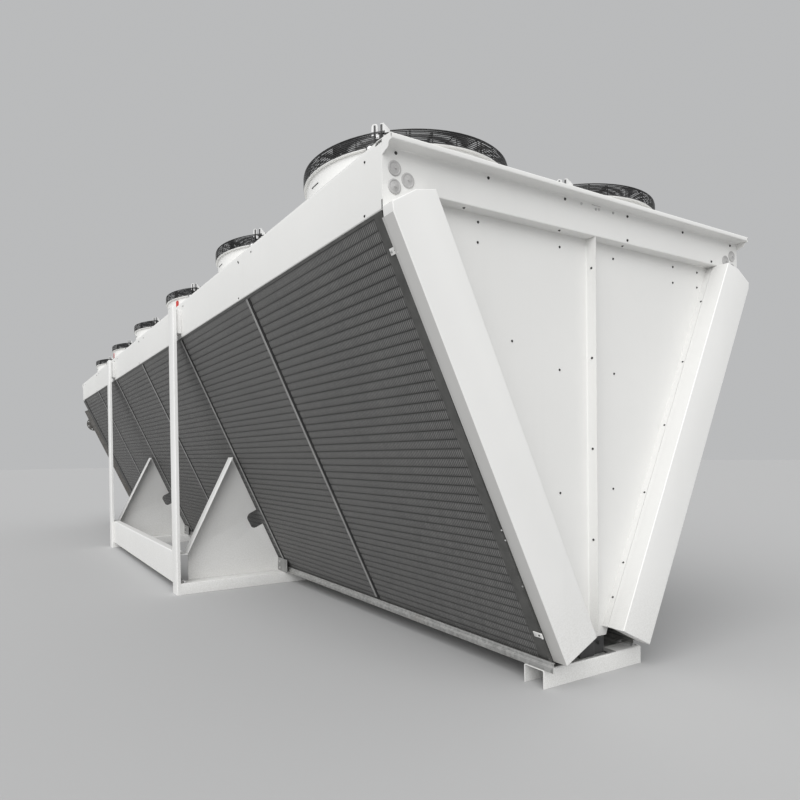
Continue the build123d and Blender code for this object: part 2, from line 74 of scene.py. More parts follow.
# ---------------------------------------------------------------- shape builder
class Shape:
    """Collects closed bodies; each face has a material number and a value that marks rubbed bends and edges, which the
    coats paint lighter, partly as a painted highlight.
    """

    def __init__(self):
        self.v, self.f, self.m, self.w = [], [], [], []

    def put(self, verts, faces, mat=0, wear_and_highlight=0.0):
        n = len(self.v)
        self.v.extend(tuple(p) for p in verts)
        for k, face_ in enumerate(faces):
            self.f.append([n + i for i in face_])
            self.m.append(mat[k] if isinstance(mat, list) else mat)
            self.w.append(wear_and_highlight[k] if isinstance(wear_and_highlight, list) else wear_and_highlight)

    def copy_of(self, other, move=(0, 0, 0), turn=0.0, flip=False):
        c, s = cos(turn), sin(turn)
        sx = -1 if flip else 1
        n = len(self.v)
        self.v.extend(
            (sx * (c * x - s * y) + move[0], s * x + c * y + move[1], z + move[2])
            for x, y, z in other.v
        )
        self.f.extend([n + i for i in f] for f in other.f)
        self.m.extend(other.m)
        self.w.extend(other.w)

    # a closed outline carried along one axis
    def prism(self, outline, place, a, b, mat=0, wear_and_highlight=0.0):
        n = len(outline)
        verts = [place(u, v, a) for u, v in outline] + [place(u, v, b) for u, v in outline]
        faces = [[i, (i + 1) % n, n + (i + 1) % n, n + i] for i in range(n)]
        faces += [list(range(n))[::-1], list(range(n, 2 * n))]
        self.put(verts, faces, mat, wear_and_highlight)

    # folded sheet: outer line with round bends, made thick, carried along one axis
    def fold(self, points, place, a, b, thick=T, radius=0.007, turn=1, mat=0, steps=4):
        outer, inner, bend = bent(points, radius, thick, turn, steps)
        n = len(outer)
        verts = []
        for t in (a, b):
            verts += [place(p[0], p[1], t) for p in outer]
            verts += [place(p[0], p[1], t) for p in inner]
        faces, wear_and_highlight = [], []
        far = 2 * n
        for i in range(n - 1):
            w = 1.0 if bend[i] else 0.0
            faces += [[i, i + 1, far + i + 1, far + i]]
            faces += [[n + i + 1, n + i, far + n + i, far + n + i + 1]]
            faces += [[i + 1, i, n + i, n + i + 1]]
            faces += [[far + i, far + i + 1, far + n + i + 1, far + n + i]]
            # bends and cut ends marked for rubbed paint and a painted highlight
            wear_and_highlight += [w, 0.0, 0.6, 0.6]
        for i in (0, n - 1):
            faces += [[i, far + i, far + n + i, n + i]]
            wear_and_highlight += [0.6]
        self.put(verts, faces, mat, wear_and_highlight)

    # box with chamfered edges, along local axes
    def block(self, centre, size, bevel=0.002, mat=0, axes=None):
        hx, hy, hz = (c / 2 for c in size)
        b = min(bevel, hx * 0.8, hy * 0.8, hz * 0.8)
        bm = bmesh.new()
        bmesh.ops.create_cube(bm, size=1.0)
        for v in bm.verts:
            v.co = Vector((v.co.x * size[0], v.co.y * size[1], v.co.z * size[2]))
        bmesh.ops.bevel(bm, geom=bm.edges[:], offset=b, segments=1, affect="EDGES")
        ax = axes or (Vector((1, 0, 0)), Vector((0, 1, 0)), Vector((0, 0, 1)))
        bm.verts.ensure_lookup_table()
        verts = [
            tuple(Vector(centre) + ax[0] * v.co.x + ax[1] * v.co.y + ax[2] * v.co.z)
            for v in bm.verts
        ]
        faces = [[v.index for v in f.verts] for f in bm.faces]
        # chamfers marked for rubbed paint and a painted highlight
        wear_and_highlight = [0.0 if f.calc_area() > 0.3 * min(hx * hy, hy * hz, hx * hz) else 1.0 for f in bm.faces]
        bm.free()
        self.put(verts, faces, mat, wear_and_highlight)

    # a profile of (radius, height) turned about a point; closed when it has no axis end
    def lathe(self, centre, profile, segs=48, mat=0, wear_and_highlight=None, axes=None, closed=True):
        ax = axes or (Vector((1, 0, 0)), Vector((0, 1, 0)), Vector((0, 0, 1)))
        c0 = Vector(centre)
        n = len(profile)
        verts = []
        for k in range(segs):
            t = 2 * pi * k / segs
            d = ax[0] * cos(t) + ax[1] * sin(t)
            verts += [tuple(c0 + d * r + ax[2] * h) for r, h in profile]
        faces, ws = [], []
        last = n if closed else n - 1
        for k in range(segs):
            k2 = (k + 1) % segs
            for i in range(last):
                j = (i + 1) % n
                faces.append([k * n + i, k2 * n + i, k2 * n + j, k * n + j])
                ws.append(wear_and_highlight[i] if wear_and_highlight else 0.0)
        if not closed:
            faces.append([k * n for k in range(segs)][::-1])
            faces.append([k * n + n - 1 for k in range(segs)])
            ws += [0.0, 0.0]
        self.put(verts, faces, mat, ws)

    def ring(self, centre, radius, wire, segs=64, sides=4, mat=0):
        verts, faces = [], []
        for k in range(segs):
            t = 2 * pi * k / segs
            for j in range(sides):
                a = 2 * pi * (j + 0.5) / sides
                r = radius + wire * cos(a)
                verts.append(
                    (centre[0] + r * cos(t), centre[1] + r * sin(t), centre[2] + wire * sin(a))
                )
        for k in range(segs):
            for j in range(sides):
                faces.append(
                    [
                        k * sides + j,
                        ((k + 1) % segs) * sides + j,
                        ((k + 1) % segs) * sides + (j + 1) % sides,
                        k * sides + (j + 1) % sides,
                    ]
                )
        self.put(verts, faces, mat)

    def tube(self, points, radius, sides=6, mat=0, caps=True):
        P = [Vector(p) for p in points]
        verts, faces = [], []
        ref = None
        for i, p in enumerate(P):
            d = (P[min(i + 1, len(P) - 1)] - P[max(i - 1, 0)]).normalized()
            if ref is None:
                ref = d.orthogonal().normalized()
            ref = (ref - d * ref.dot(d)).normalized()
            up = d.cross(ref)
            for j in range(sides):
                a = 2 * pi * j / sides
                verts.append(tuple(p + (ref * cos(a) + up * sin(a)) * radius))
        for i in range(len(P) - 1):
            for j in range(sides):
                k = (j + 1) % sides
                faces.append([i * sides + j, i * sides + k, (i + 1) * sides + k, (i + 1) * sides + j])
        if caps:
            faces.append(list(range(sides))[::-1])
            n = (len(P) - 1) * sides
            faces.append(list(range(n, n + sides)))
        self.put(verts, faces, mat)

    # low domed screw head with a flange
    def screw(self, at, normal, radius=0.006, mat=0):
        z = Vector(normal).normalized()
        x = z.orthogonal().normalized()
        y = z.cross(x)
        r = radius
        self.lathe(
            at,
            [(r * 1.25, -0.001), (r * 1.25, r * 0.18), (r * 0.85, r * 0.3), (r * 0.8, r * 0.75), (r * 0.35, r * 0.85), (r * 0.3, r * 0.55)],
            10, mat, axes=(x, y, z), closed=False,
        )

    # hexagon head on a washer
    def bolt(self, at, normal, radius=0.010, mat=0, nut=False):
        z = Vector(normal).normalized()
        x = z.orthogonal().normalized()
        y = z.cross(x)
        r = radius
        self.lathe(at, [(r * 1.7, -0.001), (r * 1.7, r * 0.2), (r * 1.6, r * 0.28)], 20, mat, axes=(x, y, z), closed=False)
        self.lathe(
            Vector(at) + z * r * 0.28,
            [(r * 1.0, -0.0005), (r * 1.05, r * 0.08), (r * 1.05, r * 0.75), (r * 0.9, r * 0.9)],
            6, mat, axes=(x, y, z), closed=False,
        )
        if nut:
            self.lathe(
                Vector(at) + z * r * 1.15,
                [(r * 0.5, 0.0), (r * 0.5, r * 0.7), (r * 0.42, r * 0.8)],
                12, mat, axes=(x, y, z), closed=False,
            )

    def make(self, name, mats, replaces=(), slot=None, smooth=32):
        me = bpy.data.meshes.new(name)
        me.from_pydata(self.v, [], self.f)
        me.validate()
        for mt in mats:
            me.materials.append(mt)
        if len(me.polygons) == len(self.m):
            me.polygons.foreach_set("material_index", self.m)
            # per-face mask: rubbed bends and edges, painted lighter partly as a highlight
            attr = me.attributes.new("wear_and_highlight", "FLOAT", "FACE")
            attr.data.foreach_set("value", self.w)
        bm = bmesh.new()
        bm.from_mesh(me)
        bmesh.ops.recalc_face_normals(bm, faces=bm.faces[:])
        bm.to_mesh(me)
        bm.free()
        me.shade_smooth()
        me.set_sharp_from_angle(angle=radians(smooth))
        ob = bpy.data.objects.new(name, me)
        bpy.context.scene.collection.objects.link(ob)
        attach(ob, "root")
        if replaces:
            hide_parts(*replaces)
        return ob


def bent(points, radius, thick, turn=1, steps=4):
    """Outer line, inner line and bend marks of a folded sheet."""
    P = [Vector(p) for p in points]
    outer, inner, mark = [], [], []

    def perp(d):
        return Vector((-d.y, d.x)) * turn

    for i, p in enumerate(P):
        if i in (0, len(P) - 1):
            d = (P[1] - P[0]) if i == 0 else (P[-1] - P[-2])
            nrm = perp(d.normalized())
            outer.append(p)
            inner.append(p + nrm * thick)
            mark.append(False)
            continue
        d0, d1 = (p - P[i - 1]).normalized(), (P[i + 1] - p).normalized()
        swing = atan2(d0.x * d1.y - d0.y * d1.x, d0.dot(d1))
        length = radius * tan(abs(swing) / 2)
        s = 1 if swing * turn > 0 else -1
        centre = p - d0 * length + perp(d0) * (s * radius)
        n0 = perp(d0)
        for k in range(steps + 1):
            a = swing * k / steps
            nk = Vector((n0.x * cos(a) - n0.y * sin(a), n0.x * sin(a) + n0.y * cos(a)))
            o = centre - nk * (s * radius)
            outer.append(o)
            inner.append(o + nk * thick)
            mark.append(k < steps)
    return outer, inner, mark


def along_y(u, v, t):
    return (u, t, v)


def along_x(u, v, t):
    return (t, u, v)


def along_z(u, v, t):
    return (u, v, t)


def inset(poly, d):
    """A convex polygon moved inwards by d."""
    n = len(poly)
    area = sum(poly[i][0] * poly[(i + 1) % n][1] - poly[(i + 1) % n][0] * poly[i][1] for i in range(n))
    sgn = 1 if area > 0 else -1
    out = []
    for i in range(n):
        p0, p1, p2 = (Vector(poly[(i + k - 1) % n]) for k in range(3))
        d0, d1 = (p1 - p0).normalized(), (p2 - p1).normalized()
        n0, n1 = Vector((-d0.y, d0.x)) * sgn, Vector((-d1.y, d1.x)) * sgn
        m = (n0 + n1) / (1 + n0.dot(n1))
        q = p1 + m * d
        out.append((q.x, q.y))
    return out


# ------------------------------------------------------------------- materials
def new_mat(name):
    m = bpy.data.materials.new(name)
    m.use_nodes = True
    nt = m.node_tree
    nt.nodes.clear()
    out = nt.nodes.new("ShaderNodeOutputMaterial")
    bs = nt.nodes.new("ShaderNodeBsdfPrincipled")
    nt.links.new(bs.outputs[0], out.inputs[0])
    return m, nt, bs


def node(nt, kind, **inputs):
    n = nt.nodes.new(kind)
    for k, v in inputs.items():
        setattr(n, k, v)
    return n


def math_(nt, op, a, b=None, c=None, clamp=False):
    n = nt.nodes.new("ShaderNodeMath")
    n.operation = op
    n.use_clamp = clamp
    for i, v in enumerate((a, b, c)):
        if v is None:
            continue
        if isinstance(v, (int, float)):
            n.inputs[i].default_value = v
        else:
            nt.links.new(v, n.inputs[i])
    return n.outputs[0]


def mix(nt, fac, a, b):
    n = nt.nodes.new("ShaderNodeMix")
    n.data_type = "RGBA"
    for i, v in ((0, fac), (6, a), (7, b)):
        if isinstance(v, (int, float)):
            n.inputs[i].default_value = v
        elif isinstance(v, tuple):
            n.inputs[i].default_value = (*v, 1.0)
        else:
            nt.links.new(v, n.inputs[i])
    return n.outputs[2]


def coords(nt):
    return nt.nodes.new("ShaderNodeTexCoord").outputs["Object"]


def noise(nt, co, scale, detail=3.0, rough=0.5, stretch=None):
    if stretch:
        mp = nt.nodes.new("ShaderNodeMapping")
        mp.inputs["Scale"].default_value = stretch
        nt.links.new(co, mp.inputs[0])
        co = mp.outputs[0]
    n = nt.nodes.new("ShaderNodeTexNoise")
    n.inputs["Scale"].default_value = scale
    n.inputs["Detail"].default_value = detail
    n.inputs["Roughness"].default_value = rough
    nt.links.new(co, n.inputs["Vector"])
    return n.outputs["Fac"]


def ramp(nt, value, lo, hi):
    n = nt.nodes.new("ShaderNodeMapRange")
    n.inputs["From Min"].default_value = lo
    n.inputs["From Max"].default_value = hi
    nt.links.new(value, n.inputs["Value"])
    return n.outputs["Result"]


def bump(nt, bs, height, strength, distance):
    n = nt.nodes.new("ShaderNodeBump")
    n.inputs["Strength"].default_value = strength
    n.inputs["Distance"].default_value = distance
    nt.links.new(height, n.inputs["Height"])
    nt.links.new(n.outputs[0], bs.inputs["Normal"])


# mask of rubbed bends and edges, painted lighter partly as a highlight
def wear_and_highlight_mask(nt):
    a = nt.nodes.new("ShaderNodeAttribute")
    a.attribute_name = "wear_and_highlight"
    a.attribute_type = "GEOMETRY"
    return a.outputs["Fac"]


def powder(name, base, dust=(0.50, 0.49, 0.46), rough=0.42, orange=0.05, low=0.5):
    """Powder coat on sheet: soft clouds, faint rain streaks, dust low down, rubbed folds painted lighter, partly as a
    painted highlight.
    """
    m, nt, bs = new_mat(name)
    co = coords(nt)
    cloud = noise(nt, co, 1.3, 4, 0.55)
    streak = noise(nt, co, 9.0, 4, 0.6, (1.0, 1.0, 0.05))
    speck = noise(nt, co, 160.0, 2, 0.6)
    sep = nt.nodes.new("ShaderNodeSeparateXYZ")
    nt.links.new(co, sep.inputs[0])
    foot = ramp(nt, sep.outputs[2], low, 0.0)
    tone = mix(nt, ramp(nt, cloud, 0.35, 0.7), tuple(c * 0.965 for c in base), base)
    soil = math_(nt, "MULTIPLY", ramp(nt, streak, 0.55, 0.85), 0.10)
    soil = math_(nt, "ADD", soil, math_(nt, "MULTIPLY", foot, ramp(nt, speck, 0.35, 0.75)), clamp=True)
    soil = math_(nt, "MULTIPLY", soil, 0.55)
    tone = mix(nt, soil, tone, dust)
    w = wear_and_highlight_mask(nt)
    # rubbed folds and edges painted lighter and glossier: rubbed coat and a painted highlight
    edge = math_(nt, "MULTIPLY", w, ramp(nt, noise(nt, co, 38.0, 5, 0.7), 0.45, 0.62))
    tone = mix(nt, math_(nt, "MULTIPLY", edge, 0.35), tone, tuple(min(1, c * 1.08) for c in base))
    nt.links.new(tone, bs.inputs["Base Color"])
    r = math_(nt, "MULTIPLY_ADD", cloud, 0.16, rough - 0.08)
    r = math_(nt, "ADD", r, math_(nt, "MULTIPLY", soil, 0.35))
    nt.links.new(math_(nt, "SUBTRACT", r, math_(nt, "MULTIPLY", edge, 0.12)), bs.inputs["Roughness"])
    bs.inputs["Specular IOR Level"].default_value = 0.42
    peel = noise(nt, co, 420.0, 2, 0.5)
    wave = noise(nt, co, 3.2, 2, 0.5)
    bump(nt, bs, math_(nt, "MULTIPLY_ADD", wave, 6.0, peel), orange, 0.001)
    return m


def galvanised(name, base=(0.42, 0.42, 0.41), rough=0.42, stain=(0.24, 0.20, 0.16), stain_amount=0.25):
    m, nt, bs = new_mat(name)
    co = coords(nt)
    vor = nt.nodes.new("ShaderNodeTexVoronoi")
    vor.inputs["Scale"].default_value = 55.0
    nt.links.new(co, vor.inputs["Vector"])
    sepc = nt.nodes.new("ShaderNodeSeparateColor")
    nt.links.new(vor.outputs["Color"], sepc.inputs[0])
    spangle = sepc.outputs[0]
    cloud = noise(nt, co, 6.0, 5, 0.65)
    tone = mix(nt, spangle, tuple(c * 0.82 for c in base), tuple(c * 1.18 for c in base))
    tone = mix(nt, math_(nt, "MULTIPLY", ramp(nt, cloud, 0.5, 0.72), stain_amount), tone, stain)
    # bends and edges painted lighter: rubbed zinc and a painted highlight
    w = wear_and_highlight_mask(nt)
    tone = mix(nt, math_(nt, "MULTIPLY", w, 0.4), tone, tuple(min(1, c * 1.5) for c in base))
    nt.links.new(tone, bs.inputs["Base Color"])
    bs.inputs["Metallic"].default_value = 0.75
    r = math_(nt, "MULTIPLY_ADD", spangle, 0.14, rough - 0.07)
    nt.links.new(math_(nt, "MULTIPLY_ADD", cloud, 0.12, r), bs.inputs["Roughness"])
    bump(nt, bs, noise(nt, co, 220.0, 3, 0.6), 0.08, 0.001)
    return m


def dark_paint(name, base, rough=0.5, metallic=0.0, light=(0.2, 0.2, 0.2), fine=260.0, bumpy=0.12):
    m, nt, bs = new_mat(name)
    co = coords(nt)
    cloud = noise(nt, co, 14.0, 4, 0.6)
    tone = mix(nt, ramp(nt, cloud, 0.3, 0.75), tuple(c * 0.75 for c in base), tuple(c * 1.25 for c in base))
    dusty = ramp(nt, noise(nt, co, 4.0, 5, 0.6), 0.5, 0.8)
    tone = mix(nt, math_(nt, "MULTIPLY", dusty, 0.12), tone, (0.30, 0.29, 0.27))
    # bends and edges painted towards the light colour: rubbed paint and a painted highlight
    tone = mix(nt, math_(nt, "MULTIPLY", wear_and_highlight_mask(nt), 0.35), tone, light)
    nt.links.new(tone, bs.inputs["Base Color"])
    bs.inputs["Metallic"].default_value = metallic
    nt.links.new(math_(nt, "MULTIPLY_ADD", cloud, 0.2, rough - 0.1), bs.inputs["Roughness"])
    bump(nt, bs, noise(nt, co, fine, 2, 0.5), bumpy, 0.001)
    return m


def fins(name):
    """Coil face: fin edges in upright bands, broken by the grooves over the tube rows, with painted shade between the
    fin edges and in the grooves.
    """
    m, nt, bs = new_mat(name)
    co = coords(nt)
    sep = nt.nodes.new("ShaderNodeSeparateXYZ")
    nt.links.new(co, sep.inputs[0])
    x, y, z = sep.outputs
    ax = math_(nt, "ABSOLUTE", x)
    down = math_(nt, "MULTIPLY", math_(nt, "SUBTRACT", HALF, ax), sin(LEAN))
    down = math_(nt, "MULTIPLY_ADD", math_(nt, "SUBTRACT", Z_PANEL, z), cos(LEAN), down)
    rows = math_(nt, "MULTIPLY_ADD", down, 1.0 / ROW, 100.0 - ROW_AT / ROW)
    row_no = math_(nt, "FLOOR", rows)
    # 0 half way between two grooves and 0.5 in a groove
    gap = math_(nt, "ABSOLUTE", math_(nt, "SUBTRACT", math_(nt, "FRACT", rows), 0.5))
    # a slight waver in each band's place, different in each row
    wn = nt.nodes.new("ShaderNodeTexWhiteNoise")
    wn.noise_dimensions = "1D"
    nt.links.new(row_no, wn.inputs["W"])
    shift = math_(nt, "MULTIPLY", wn.outputs["Value"], 0.35)
    wander = math_(nt, "MULTIPLY", noise(nt, co, 2.2, 2, 0.5), 0.8)
    bands = math_(nt, "ADD", math_(nt, "MULTIPLY_ADD", y, 1.0 / 0.012, shift), wander)
    band_no = math_(nt, "FLOOR", bands)
    tri = math_(nt, "ABSOLUTE", math_(nt, "SUBTRACT", math_(nt, "FRACT", math_(nt, "ADD", bands, 5000.0)), 0.5))
    fin = ramp(nt, tri, 0.40, 0.16)
    comb = nt.nodes.new("ShaderNodeCombineXYZ")
    nt.links.new(band_no, comb.inputs[0])
    nt.links.new(row_no, comb.inputs[1])
    wn2 = nt.nodes.new("ShaderNodeTexWhiteNoise")
    wn2.noise_dimensions = "2D"
    nt.links.new(comb.outputs[0], wn2.inputs["Vector"])
    each = wn2.outputs["Value"]
    small = math_(nt, "FRACT", math_(nt, "MULTIPLY_ADD", y, 1.0 / 0.0024, 9000.0))
    small = ramp(nt, math_(nt, "ABSOLUTE", math_(nt, "SUBTRACT", small, 0.5)), 0.5, 0.2)
    ends = ramp(nt, gap, 0.49, 0.41)
    cell = math_(nt, "MULTIPLY", fin, ends)
    lit = mix(nt, each, (0.160, 0.159, 0.156), (0.222, 0.220, 0.215))
    # the dark colour between the fin edges is painted shade deep in the fin pack
    tone = mix(nt, cell, (0.052, 0.052, 0.051), lit)
    # the grooves over the tube rows darkened as painted shade
    groove = ramp(nt, gap, 0.24, 0.46)
    tone = mix(nt, math_(nt, "MULTIPLY", groove, 0.42), tone, (0.034, 0.034, 0.033))
    dusty = ramp(nt, noise(nt, co, 1.6, 4, 0.6), 0.42, 0.75)
    tone = mix(nt, math_(nt, "MULTIPLY", dusty, 0.14), tone, (0.18, 0.178, 0.172))
    nt.links.new(tone, bs.inputs["Base Color"])
    bs.inputs["Metallic"].default_value = 0.0
    bs.inputs["Specular IOR Level"].default_value = 0.3
    nt.links.new(math_(nt, "MULTIPLY_ADD", each, 0.2, 0.48), bs.inputs["Roughness"])
    hgt = math_(nt, "MULTIPLY_ADD", small, 0.18, cell)
    bump(nt, bs, hgt, 0.55, 0.003)
    return m


def rotor_plastic(name):
    return dark_paint(name, (0.035, 0.036, 0.038), 0.46, 0.0, (0.10, 0.10, 0.10), 500.0, 0.06)


M_PANEL = powder("white_panel_coat", (0.800, 0.797, 0.780))
M_COVER = powder("white_cover_coat", (0.815, 0.812, 0.796), rough=0.40)
# duller copies of the cover coat: painted shade on the covers' returns, which face down and away from the light
M_RETURN_SHADED = powder("cover_return_painted_shade", (0.540, 0.535, 0.522), rough=0.45)
M_INNER_SHADED = powder("cover_inner_painted_shade", (0.700, 0.697, 0.682), rough=0.50)
M_FRAME = powder("white_frame_coat", (0.780, 0.778, 0.765), low=0.9)
M_INSIDE = powder("white_inner_sheet", (0.775, 0.772, 0.755), rough=0.45)
M_GALV = galvanised("galvanised_trough")
M_GALV_DULL = galvanised("galvanised_casing", (0.44, 0.44, 0.43), 0.5)
M_FINS = fins("coil_fin_edges")
M_CASING = dark_paint("coil_casing_grey", (0.098, 0.098, 0.094), 0.55, 0.25, (0.22, 0.22, 0.21), 120.0, 0.1)
M_CORE = dark_paint("coil_core_shade", (0.012, 0.012, 0.012), 0.8, 0.0, (0.022, 0.022, 0.022))
M_BAR = dark_paint("divider_grey", (0.300, 0.299, 0.294), 0.5, 0.2, (0.36, 0.36, 0.35), 120.0, 0.1)
M_WIRE = dark_paint("guard_black", (0.022, 0.022, 0.023), 0.38, 0.0, (0.10, 0.10, 0.10), 700.0, 0.08)
M_ROTOR = rotor_plastic("fan_wheel_dark")
M_MOTOR = dark_paint("motor_casting", (0.042, 0.042, 0.044), 0.5, 0.35, (0.16, 0.16, 0.16), 340.0, 0.3)
M_BRACKET = dark_paint("bracket_black", (0.030, 0.030, 0.031), 0.42, 0.2, (0.20, 0.20, 0.20), 420.0, 0.1)
M_ZINC = galvanised("zinc_fixings", (0.60, 0.60, 0.60), 0.30, (0.30, 0.28, 0.25), 0.1)
M_DARK_SCREW = dark_paint("screw_dark", (0.045, 0.045, 0.045), 0.35, 0.6, (0.18, 0.18, 0.18))
M_RUBBER = dark_paint("grommet_grey", (0.46, 0.455, 0.45), 0.6, 0.0, (0.58, 0.575, 0.57), 300.0, 0.08)
M_PIPE = galvanised("header_steel", (0.19, 0.184, 0.175), 0.52, (0.11, 0.085, 0.06), 0.35)
M_COPPER = galvanised("copper_tube", (0.55, 0.30, 0.18), 0.35, (0.22, 0.14, 0.09), 0.4)
M_TABGREY = dark_paint("tab_grey", (0.55, 0.55, 0.545), 0.45, 0.2, (0.62, 0.62, 0.61), 300.0, 0.08)
M_TAG = dark_paint("tag_red", (0.50, 0.040, 0.032), 0.45, 0.0, (0.60, 0.20, 0.18))
M_SHADE = dark_paint("fold_grey", (0.24, 0.24, 0.235), 0.6, 0.0, (0.34, 0.34, 0.33), 140.0, 0.1)
M_END = dark_paint("end_casing_grey", (0.075, 0.075, 0.073), 0.6, 0.0, (0.13, 0.13, 0.125), 120.0, 0.1)
M_SEAM = dark_paint("seam_shadow", (0.10, 0.10, 0.098), 0.8)

# ---------------------------------------------------------------- side panels
for side, word in ((-1, "left"), (1, "right")):
    s = Shape()
    joints = [YN + T, YN + 2 * PITCH, YN + 4 * PITCH, YF - T]
    for k in range(3):
        a = joints[k] + (0.0006 if k else 0.0)
        b = joints[k + 1] - (0.0006 if k < 2 else 0.0)
        s.fold(
            [(side * HALF, Z_DECK - 0.016), (side * HALF, Z_PANEL), (side * (HALF - 0.025), Z_PANEL)],
            along_y, a, b, turn=1 if side < 0 else -1, radius=0.006,
        )
        s.fold(
            [(side * (HALF - 0.060), Z_DECK - T), (side * HALF, Z_DECK - T), (side * HALF, Z_DECK - 0.016)],
            along_y, a + (0.045 if k == 0 else 0), b - (0.045 if k == 2 else 0),
            turn=1 if side < 0 else -1, radius=0.006,
        )
    s.make("panel_folded_" + word, [M_PANEL], ["side_panel_" + word], "white_panel")

# ----------------------------------------------------------------- end beams
for end, word in ((-1, "near"), (1, "far")):
    y0 = YN if end < 0 else YF
    s = Shape()
    line = [(-SETBACK, Z_BEAM), (0, Z_BEAM), (0, Z_LIP), (LIP, Z_LIP), (LIP, Z_LIP_TOP), (-0.040, Z_DECK)]
    s.fold(
        [(y0 + end * a, b) for a, b in line], along_x, -HALF + 0.0005, HALF - 0.0005,
        turn=-1 if end < 0 else 1, radius=0.005,
    )
    curve = [(-0.001, 2.120)]
    ctrl = [(-0.001, 2.120), (0.016, 2.127), (0.031, 2.130), (0.038, 2.135), (0.041, 2.144), (0.048, 2.151), (0.058, 2.153)]
    for k in range(len(ctrl) - 1):
        p0 = Vector(ctrl[max(k - 1, 0)]); p1 = Vector(ctrl[k]); p2 = Vector(ctrl[k + 1]); p3 = Vector(ctrl[min(k + 2, len(ctrl) - 1)])
        for j in range(1, 4):
            t = j / 3
            q = 0.5 * (2 * p1 + (p2 - p0) * t + (2 * p0 - 5 * p1 + 4 * p2 - p3) * t * t + (3 * p1 - p0 - 3 * p2 + p3) * t ** 3)
            curve.append((q.x, q.y))
    plate = curve + [(0.058, Z_LIP_TOP - 0.001), (-0.001, Z_LIP_TOP - 0.0005)]
    for x0 in (-HALF, HALF - T):
        s.prism([(y0 + end * a, b) for a, b in plate], along_x, x0, x0 + T)
    for side in (-1, 1):
        tab = [(HALF - 0.0008, Z_BEAM + 0.006), (HALF - 0.0008, Z_PANEL + 0.002), (HALF - 0.002, Z_PANEL + 0.0005), (0.964, Z_PANEL + 0.0005), (0.962, Z_PANEL + 0.002), (0.962, Z_BEAM + 0.006)]
        s.prism([(side * x, z) for x, z in tab], along_y, y0 + (0.00005 if end < 0 else -0.00005), y0 - end * T)
    s.make("beam_folded_" + word, [M_PANEL], ["end_beam_" + word], "white_panel")

# ---------------------------------------------------------------- end covers
PROFILE = [(1.150, 1.932), (1.047, 1.993), (0.955, 2.012), (0.090, 0.211), (0.281, 0.118), (1.146, 1.896)]
for side, word in ((-1, "left"), (1, "right")):
    poly = [(side * x, z) for x, z in PROFILE]
    s = Shape()
    front, r, n = YN - 0.064, 0.0038, len(poly)
    loops = []
    for k in range(6):
        a = pi / 2 * k / 5
        loops.append((inset(poly, r * (1 - sin(a))), front + r * (1 - cos(a))))
    loops.append((poly, YN))
    loops.append((inset(poly, T), YN))
    loops.append((inset(poly, T), front + r))
    loops.append((inset(poly, r), front + T))
    verts = [(p[0], y, p[1]) for pl, y in loops for p in pl]
    faces, wear_and_highlight, mats = [list(range(n))], [0.0], [0]
    for k in range(len(loops) - 1):
        for i in range(n):
            # outer and inner return faces in the duller coats: painted shade
            mats.append(1 if k == 5 and i == 4 else 2 if k == 5 and i == 2 else 0)
            faces.append([k * n + i, k * n + (i + 1) % n, (k + 1) * n + (i + 1) % n, (k + 1) * n + i])
            # front rounding marked at half strength: rubbed rim and painted highlight
            wear_and_highlight.append(0.5 if k < 5 else 0.0)
    faces.append([(len(loops) - 1) * n + i for i in range(n)])
    wear_and_highlight.append(0.0)
    mats.append(0)
    s.put(verts, faces, mats, wear_and_highlight)
    # returns: the inner one meets the V-shaped panel's flange, the outer one laps the coil; both take the duller coats
    # as painted shade
    for first, second, way, back in ((2, 3, side, YN + 0.0220), (5, 4, -side, YN + 0.0118)):
        p0, p1 = Vector(poly[first]), Vector(poly[second])
        d = (p1 - p0).normalized()
        nrm = Vector((way, 0)) - d * (way * d.x)
        nrm.normalize()
        q = [p0, p1, p1 + nrm * T, p0 + nrm * T]
        s.prism([(p.x, p.y) for p in q], along_y, YN - 0.0005, back, 1 if first == 5 else 2)
    s.make("cover_pressed_" + word, [M_COVER, M_RETURN_SHADED, M_INNER_SHADED], ["end_cover_" + word], "white_cover")

# ---------------------------------------------------------------- end panels
def half_width_at(z):
    return 0.1781 + (1.044 - 0.1781) * (z - 0.165) / (Z_BEAM - 0.165)


